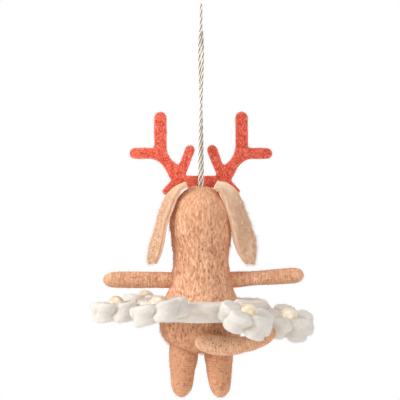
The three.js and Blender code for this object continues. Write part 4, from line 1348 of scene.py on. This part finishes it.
class ORNAMENT_OT_tail(Operator):
    """Winds the tail along its curve, tapered to a curled tip"""

    bl_idname = "ornament.tail"
    bl_label = "Tail"

    def execute(self, context):
        line = tail_line()
        count = 60
        shares = [1 - (1 - i / count) ** 1.5 for i in range(count + 1)]
        radii = []
        for share in shares:
            from_tip = min((1 - share) * line.length / 1.5, 1)
            tip = max(math.sqrt(1 - (1 - from_tip) ** 2), 0.1)
            radii.append(TAIL_RADIUS * read_table(TAIL_GIRTHS, share) * tip)
        stem = add_strand("tail", [line.at(share) for share in shares], radii, 24)
        choose()
        bpy.ops.mesh.primitive_uv_sphere_add(
            segments=28, ring_count=18, radius=mm(TAIL_RADIUS), location=mm(*TAIL_ROOT))
        tail = join_pieces(stem, context.object)
        choose(tail)
        bpy.ops.object.transform_apply(location=True, rotation=True, scale=True)
        felt_together(tail, 0.2, 3)
        add_lumps(tail, 4, 0.35, detail=0)
        # Painted light on the root, where the skirt's shadow falls, and darker towards the tip
        tones = [(0, 0.9), (7, 1), (14, 0.6), (26, 0.2), (33, -0.7), (38, -1)]
        wind_along(tail, line, size_of("winding_pitch"), size_of("winding_depth"), tones)
        finish_piece(tail, "tail_felt", FINISHES["wound"], "tail", "tan_felt", "tail")
        plant_fibres(
            tail, "tail_fibres", FINISHES["wool_fibres"], per_mm2=2.6, length=1.1, width=0.06, lift=0.2,
            wrap=(-1, 0.3, 0.1), ruffle=0.4, seed=sizes().seed + 9,
            keep=lambda middle, normal: middle.y > TAIL_ROOT[1] + 2)
        return {"FINISHED"}


# Headband and ears

def antler_outline():
    """The cut-out's outline in mm, its corners rounded."""
    right = [
        (ANTLER_SPAN / 2 * x, ANTLER_HEIGHT * z, TINE_WIDTH * rounding) for x, z, rounding in ANTLER_ROWS]
    corners = [*right, *((-x, z, rounding) for x, z, rounding in reversed(right))]
    outline = []
    for i, (x, z, rounding) in enumerate(corners):
        here = Vector((x, z))
        before = Vector(corners[i - 1][:2]) - here
        after = Vector(corners[(i + 1) % len(corners)][:2]) - here
        reach = min(rounding, before.length * 0.498, after.length * 0.498)
        start, end = here + before.normalized() * reach, here + after.normalized() * reach
        pull = math.sqrt((1 - before.normalized().dot(after.normalized())) / 2)  # this makes it a true arc
        steps = 6 if rounding else 0
        for k in range(steps + 1):
            t = k / max(steps, 1)
            first, middle, last = (1 - t) ** 2, 2 * t * (1 - t) * pull, t ** 2
            outline.append((start * first + here * middle + end * last) / (first + middle + last))
    return outline


class ORNAMENT_OT_headband(Operator):
    """Cuts the antler headband from thick red felt"""

    bl_idname = "ornament.headband"
    bl_label = "Antler headband"

    def execute(self, context):
        outline = antler_outline()
        choose()
        bpy.ops.mesh.primitive_circle_add(vertices=len(outline), radius=mm(20), fill_type="NGON")
        band = context.object
        places = np.array([mm(x, BAND_FRONT, BAND_FOOT + z) for x, z in outline])
        set_points(band, places)
        bpy.ops.object.mode_set(mode="EDIT")
        bpy.ops.mesh.select_all(action="SELECT")
        bpy.ops.mesh.extrude_region_move(TRANSFORM_OT_translate={"value": mm(0, BAND_THICKNESS, 0)})
        bpy.ops.mesh.select_all(action="SELECT")
        bpy.ops.mesh.normals_make_consistent(inside=False)
        bpy.ops.object.mode_set(mode="OBJECT")
        felt_together(band, 0.3, 3)
        places, _ = points_of(band)
        out = places[:, 0] * 2000 / ANTLER_SPAN
        places[:, 1] -= mm(ANTLER_SWEEP) * out ** 2
        set_points(band, places)
        add_lumps(band, 6, 0.3, detail=0)
        add_lumps(band, 1.1, 0.14, detail=1)
        mark_hollows(band, 4)
        finish_piece(band, "antler_headband_felt", FINISHES["red"], "figure", "red_felt", "antler_headband")
        plant_fibres(
            band, "antler_headband_fibres", FINISHES["red_fibres"], per_mm2=1.6, length=0.8, width=0.05,
            lift=0.5, ruffle=0.8, seed=sizes().seed + 11)
        return {"FINISHED"}


class ORNAMENT_OT_ears(Operator):
    """Hangs the ears: pile fabric outside and a thin lining underneath"""

    bl_idname = "ornament.ears"
    bl_label = "Ears"

    def execute(self, context):
        root_out, root_back, root_level = EAR_ROOT
        for name, side in SIDES.items():
            root = Vector((side * root_out, root_back, root_level))
            line = SmoothLine([
                root + Vector((side * out * EAR_REACH, 0, -down * EAR_DROP)) for out, down in EAR_LINE])
            fur = self.flap(line, name, side, -0.2, 1.25, 0.3)
            add_lumps(fur, 5, 0.4, detail=0)
            set_attribute(fur, "hollow", np.full(len(fur.data.vertices), 0.5))
            # Painted shade on the left ear and painted light on the right one
            set_attribute(fur, "pale", np.full(len(fur.data.vertices), -0.9 if side > 0 else 0.2))
            finish_piece(fur, f"ear_{name}_fabric", FINISHES["fur"], "ear_" + name, "ear_fur",
                         f"ear_{name}_fur")
            lining = self.flap(line, name, side, -EAR_LAYER_GAP - 0.6, -0.1, 0.2, 0.6)
            mark_hollows(lining, 4)
            finish_piece(lining, f"ear_{name}_lining_felt", FINISHES["lining"], "ear_" + name, "ear_lining",
                         f"ear_{name}_lining")
            middle_out = self.outward(line, name, side, 0.6)[1]
            pile = plant_fibres(
                fur, f"ear_{name}_fur_fibres", FINISHES["pile"], per_mm2=6, length=size_of("pile_length"),
                width=0.1, lift=0.22, lay=(side * 0.3, 0, -0.9), ruffle=0.3, bend=0.2,
                seed=sizes().seed + 13 + side,
                keep=lambda middle, normal: normal.dot(middle_out) > -0.2)
            fringe = plant_fibres(
                fur, f"ear_{name}_fringe_fibres", FINISHES["fringe"], per_mm2=14,
                length=1.3 * size_of("pile_length"), width=0.1, lift=0.9, lay=(side * 0.3, 0, -0.4),
                ruffle=0.6, bend=0.35, seed=sizes().seed + 16 + side,
                keep=lambda middle, normal: (
                    normal.y < -0.2 and normal.x * side > 0 and abs(normal.z) < 0.6 and middle.z < CROWN - 6))
        return {"FINISHED"}

    @staticmethod
    def outward(line, name, side, share):
        """Across the ear and out from its fur, at a share of its length."""
        turn = math.radians(EAR_TURNS[name])
        across = Vector((-side * math.cos(turn), math.sin(turn), 0)) * side
        way = line.along(share)
        level = (across - way * across.dot(way)).normalized()
        away = level.cross(way).normalized()
        if away.dot(across.cross((0, 0, 1))) < 0:
            away.negate()
        return level, away

    def flap(self, line, name, side, low, high, skin, rise=0.0):
        """A flap between two offsets from the ear's line, cupped, a little wavy and raised at its root."""
        rows, columns = 48, 16
        choose()
        bpy.ops.mesh.primitive_grid_add(x_subdivisions=columns, y_subdivisions=rows, size=1)
        ear = bpy.context.object
        places = []
        for j in range(rows + 1):
            share = j / rows
            level, away = self.outward(line, name, side, share)
            middle = line.at(share) - line.along(0) * EAR_TUCK * max(1 - share * 6, 0)
            width = EAR_WIDTH * read_table(EAR_WIDTHS, share)
            for i in range(columns + 1):
                across = i / columns - 0.5
                cup = -1.1 * (2 * across) ** 2 * math.sin(math.pi * min(share * 1.4, 1) / 2)
                wave = 0.35 * math.sin(9 * share + 4 * across + side)
                lift = cup + wave + low + rise * max(1 - share * 5, 0)
                places.append(mm(*(middle + level * across * width + away * lift)))
        set_points(ear, np.array(places))
        choose(ear)
        facing = ear.data.polygons[len(ear.data.polygons) // 2].normal
        _, away = self.outward(line, name, side, 0.5)
        offset = 1 if facing.dot(away) > 0 else -1
        apply_modifier(ear, "SOLIDIFY", thickness=mm(high - low), offset=offset, use_even_offset=False)
        bpy.ops.object.mode_set(mode="EDIT")
        bpy.ops.mesh.select_all(action="SELECT")
        bpy.ops.mesh.normals_make_consistent(inside=False)
        bpy.ops.object.mode_set(mode="OBJECT")
        return felt_together(ear, skin, 3)


# Garland skirt

def felt_disc(radius, low, high, rounding, sides, place=(0, 0)):
    """A thick felt disc with rounded edges."""
    choose()
    bpy.ops.mesh.primitive_cylinder_add(
        vertices=sides, radius=mm(radius), depth=mm(high - low), location=mm(*place, (high + low) / 2))
    disc = bpy.context.object
    for upwards in (1, -1):
        pick_faces(disc, lambda middle, normal: normal.z * upwards > 0.9)
        bpy.ops.object.mode_set(mode="EDIT")
        bpy.ops.mesh.bevel(offset=mm(rounding), segments=4, affect="EDGES")
        bpy.ops.object.mode_set(mode="OBJECT")
    choose(disc)
    bpy.ops.object.transform_apply(location=True, rotation=True, scale=True)
    return disc


def press_seam(piece, seat, depth, width):
    """The soft line round a wall where two felt layers meet."""
    places, normals = points_of(piece)
    turn = np.array(seat.inverted())
    height = (places @ turn[2, :3] + turn[2, 3]) * 1000
    upright = 1 - np.abs(normals @ turn[2, :3])
    uneven = 0.7 + 0.3 * np.sin(places[:, 0] * 260) * np.sin(places[:, 1] * 310)
    press = mm(depth) * uneven * upright * np.exp(-(height / width) ** 2)
    set_points(piece, places - normals * press[:, None])


class ORNAMENT_OT_ring(Operator):
    """Lays the skirt's ring, two felt layers felted together, round the waist"""

    bl_idname = "ornament.ring"
    bl_label = "Skirt ring"

    def execute(self, context):
        waist = grow_form(body_rings(0.1), 40)
        half = SKIRT_HEIGHT / 2
        ring = felt_disc(RING_RADIUS, SKIRT_LEVEL - half, SKIRT_LEVEL + half, RING_ROUNDING, 96)
        cut_away(ring, waist)
        felt_together(ring, 0.4, 3)
        add_lumps(ring, 6, 0.5, detail=0)
        add_lumps(ring, 1.6, 0.14, detail=1)
        press_seam(ring, Matrix.Translation(mm(0, 0, SKIRT_LEVEL)), 0.45, 0.8)
        mark_hollows(ring)
        finish_piece(ring, "skirt_ring_felt", FINISHES["ring"], "figure", "white_felt",
                     "skirt_ring_upper", "skirt_ring_lower")
        return {"FINISHED"}


def flower_frame(flower):
    """The matrix of a flower's seat and its size, from its row of the table."""
    angle, droop, twist, lift, _, share = flower
    spoke = Matrix.Translation(mm(0, 0, SKIRT_LEVEL)) @ Matrix.Rotation(math.radians(angle), 4, "Z")
    edge = Matrix.Translation(mm(0, RING_RADIUS, lift * SKIRT_HEIGHT))
    edge = edge @ Matrix.Rotation(-math.radians(droop), 4, "X")
    seat = Matrix.Translation(mm(0, FLOWER_DIAMETER * share * FLOWER_SEAT_SHARE, 0))
    return spoke @ edge @ seat @ Matrix.Rotation(math.radians(twist), 4, "Y"), share


class ORNAMENT_OT_flowers(Operator):
    """Models one thick felt flower and sews its copies round the ring"""

    bl_idname = "ornament.flowers"
    bl_label = "Flowers"

    def execute(self, context):
        blank = self.model_flower()
        fuzzy = [bpy.data.objects["skirt_ring_felt"]]
        for number, row in enumerate(FLOWERS, 1):
            matrix, share = flower_frame(row)
            *_, turn, _ = row
            petal_turn = Matrix.Rotation(math.radians(turn), 4, "Z")
            flower = copy_of(blank, f"flower_{number}_felt")
            flower.matrix_world = matrix @ petal_turn @ Matrix.Diagonal((share, share, 1, 1))
            choose(flower)
            bpy.ops.object.transform_apply(location=True, rotation=True, scale=True)
            self.seat_flower(context, flower, matrix)
            mark_hollows(flower)
            finish_piece(flower, flower.name, FINISHES["white"], "figure", "white_felt",
                         f"flower_{number}_upper", f"flower_{number}_lower")
            fuzzy.append(flower)
        bpy.data.objects.remove(blank)
        skirt = join_pieces(*[copy_of(piece, "skirt") for piece in fuzzy])
        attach(skirt, "figure")
        plant_fibres(
            skirt, "skirt_fibres", FINISHES["white_fibres"], per_mm2=1.3, length=size_of("fuzz_length"),
            width=0.05, lift=0.6, ruffle=0.8, seed=sizes().seed + 21,
            keep=lambda middle, normal: middle.xy.length > 19)
        bpy.data.objects.remove(skirt)
        return {"FINISHED"}

    @staticmethod
    def model_flower():
        """Two felt layers in one: five puffy lobes round a middle, with creases between them."""
        half = SKIRT_HEIGHT / 2
        out = FLOWER_DIAMETER / 2 - PETAL_RADIUS
        step = 2 * math.pi / PETALS
        middle_radius, setback, rounding = FLOWER_MIDDLE
        lobes = [felt_disc(middle_radius, setback - half, half - setback, rounding, 48)]
        for i in range(PETALS):
            turn = math.pi / 2 + i * step
            place = (out * math.cos(turn), out * math.sin(turn))
            lobes.append(felt_disc(PETAL_RADIUS, -half, half, size_of("petal_round"), 40, place))
        flower = join_pieces(*lobes)
        felt_together(flower, 0.25, 3)
        places, _ = points_of(flower)
        reach = np.hypot(places[:, 0], places[:, 1]) * 1000
        turn = (np.arctan2(places[:, 1], places[:, 0]) - math.pi / 2) % step
        aside = reach * np.sin(np.abs(turn - step / 2))
        groove = np.exp(-(aside / 0.95) ** 2) * np.clip((reach - 2.5) / 3, 0, 1)
        height = places[:, 2] * 1000 / half
        places[:, 2] -= mm(1) * np.sign(height) * np.clip(height ** 2, 0, 1) * (
            0.9 * groove - 0.1 * np.clip((reach - 5) / 2, 0, 1))
        spin = 0.12 * np.clip(height * 3, -1, 1)
        cosine, sine = np.cos(spin), np.sin(spin)
        places[:, :2] = np.column_stack([
            places[:, 0] * cosine - places[:, 1] * sine, places[:, 0] * sine + places[:, 1] * cosine])
        set_points(flower, places)
        press_seam(flower, Matrix.Identity(4), 0.4, 0.7)
        return flower

    @staticmethod
    def seat_flower(context, flower, matrix):
        """Cuts the flower to the ring's edge and to its bead's seat, and felts it over."""
        choose()
        bpy.ops.mesh.primitive_cylinder_add(
            vertices=96, radius=mm(RING_RADIUS - 0.1), depth=mm(SKIRT_HEIGHT - 0.2),
            location=mm(0, 0, SKIRT_LEVEL))
        cut_away(flower, context.object)
        choose()
        bpy.ops.mesh.primitive_uv_sphere_add(
            segments=32, ring_count=20, radius=mm(PEARL_DIAMETER / 2 - 0.05))
        seat = context.object
        seat.matrix_world = matrix @ Matrix.Translation(mm(0, 0, PEARL_LEVEL))
        context.view_layer.update()
        cut_away(flower, seat)
        felt_together(flower, 0.3, 2)
        add_lumps(flower, 6, 0.7, detail=0)
        add_lumps(flower, 1.8, 0.16, detail=1)


class ORNAMENT_OT_pearls(Operator):
    """Threads an imitation pearl on each flower"""

    bl_idname = "ornament.pearls"
    bl_label = "Pearls"

    def execute(self, context):
        blank = self.model_bead(context)
        for number, flower in enumerate(FLOWERS, 1):
            matrix, _ = flower_frame(flower)
            bead = copy_of(blank, f"pearl_{number}_bead")
            bead.matrix_world = matrix @ Matrix.Translation(mm(0, 0, PEARL_LEVEL))
            context.view_layer.update()
            finish_piece(bead, bead.name, FINISHES["pearl"], "figure", "pearl", f"pearl_{number}")
            other_half = [(-x, y, z) for x, y, z in reversed(THREAD_HALF)]
            line = SmoothLine([*THREAD_HALF, (0, 0, PEARL_LEVEL), *other_half], 6)
            points = [matrix @ Vector(mm(*point)) * 1000 for point in line.points]
            strand = add_strand("thread", points, [THREAD / 2] * len(points), 8)
            finish_piece(strand, f"pearl_{number}_thread", FINISHES["thread"], "figure", "thread",
                         f"pearl_thread_{number}")
        bpy.data.objects.remove(blank)
        return {"FINISHED"}

    @staticmethod
    def model_bead(context):
        """A ball with its poles opened and bridged into a bore along X."""
        choose()
        bpy.ops.mesh.primitive_uv_sphere_add(
            segments=40, ring_count=28, radius=mm(PEARL_DIAMETER / 2), rotation=(0, math.pi / 2, 0))
        bead = context.object
        bpy.ops.object.transform_apply(location=True, rotation=True, scale=True)
        delete_faces(bead, lambda middle, normal: middle.yz.length < mm(BORE * 0.35))
        edges = {}
        for face in bead.data.polygons:
            for key in face.edge_keys:
                edges[key] = edges.get(key, 0) + 1
        pick_faces(bead, lambda middle, normal: False)
        for edge in bead.data.edges:
            edge.select = edges[tuple(sorted(edge.vertices))] == 1
        bpy.ops.object.mode_set(mode="EDIT")
        bpy.ops.mesh.select_mode(type="EDGE")
        bpy.ops.mesh.bridge_edge_loops()
        bpy.ops.mesh.select_all(action="SELECT")
        bpy.ops.mesh.normals_make_consistent(inside=False)
        bpy.ops.mesh.select_mode(type="VERT")
        bpy.ops.object.mode_set(mode="OBJECT")
        return bead


class ORNAMENT_OT_wires(Operator):
    """Gives the wire cores inside the wool their finish"""

    bl_idname = "ornament.wires"
    bl_label = "Wire cores"

    def execute(self, context):
        for name in ("shoulder_wire", "arm_wire_left", "arm_wire_right", "hip_wire", "leg_wire_left",
                     "leg_wire_right", "tail_wire", "tail_anchor_wire"):
            for holder in bpy.data.objects[name].material_slots:
                holder.material = FINISHES["wire"]
        return {"FINISHED"}


# Panel and registration

MAKING = (
    ORNAMENT_OT_camera, ORNAMENT_OT_cord, ORNAMENT_OT_stage, ORNAMENT_OT_body, ORNAMENT_OT_face,
    ORNAMENT_OT_arms, ORNAMENT_OT_legs, ORNAMENT_OT_tail, ORNAMENT_OT_headband, ORNAMENT_OT_ears,
    ORNAMENT_OT_ring, ORNAMENT_OT_flowers, ORNAMENT_OT_pearls, ORNAMENT_OT_wires)


class ORNAMENT_PT_panel(Panel):
    """Lists the ornament's pieces, colours and sizes"""

    bl_idname = "ORNAMENT_PT_panel"
    bl_label = "Felted dog ornament"
    bl_space_type = "VIEW_3D"
    bl_region_type = "UI"
    bl_category = "Ornament"

    def draw(self, context):
        column = self.layout.column(align=True)
        for step in MAKING:
            column.operator(step.bl_idname)
        for settings in (context.scene.ornament_sizes, context.scene.ornament_colours):
            box = self.layout.box()
            for name in settings.__annotations__:
                box.prop(settings, name)


CLASSES = (OrnamentColours, OrnamentSizes, *MAKING, ORNAMENT_PT_panel)


def register():
    for cls in CLASSES:
        bpy.utils.register_class(cls)
    bpy.types.Scene.ornament_colours = PointerProperty(type=OrnamentColours)
    bpy.types.Scene.ornament_sizes = PointerProperty(type=OrnamentSizes)


def unregister():
    del bpy.types.Scene.ornament_sizes
    del bpy.types.Scene.ornament_colours
    for cls in reversed(CLASSES):
        bpy.utils.unregister_class(cls)


def main():
    """Makes the ornament piece by piece."""
    register()
    mix_finishes()
    for step in MAKING:
        group, name = step.bl_idname.split(".")
        getattr(getattr(bpy.ops, group), name)()


if __name__ == "__main__":
    main()
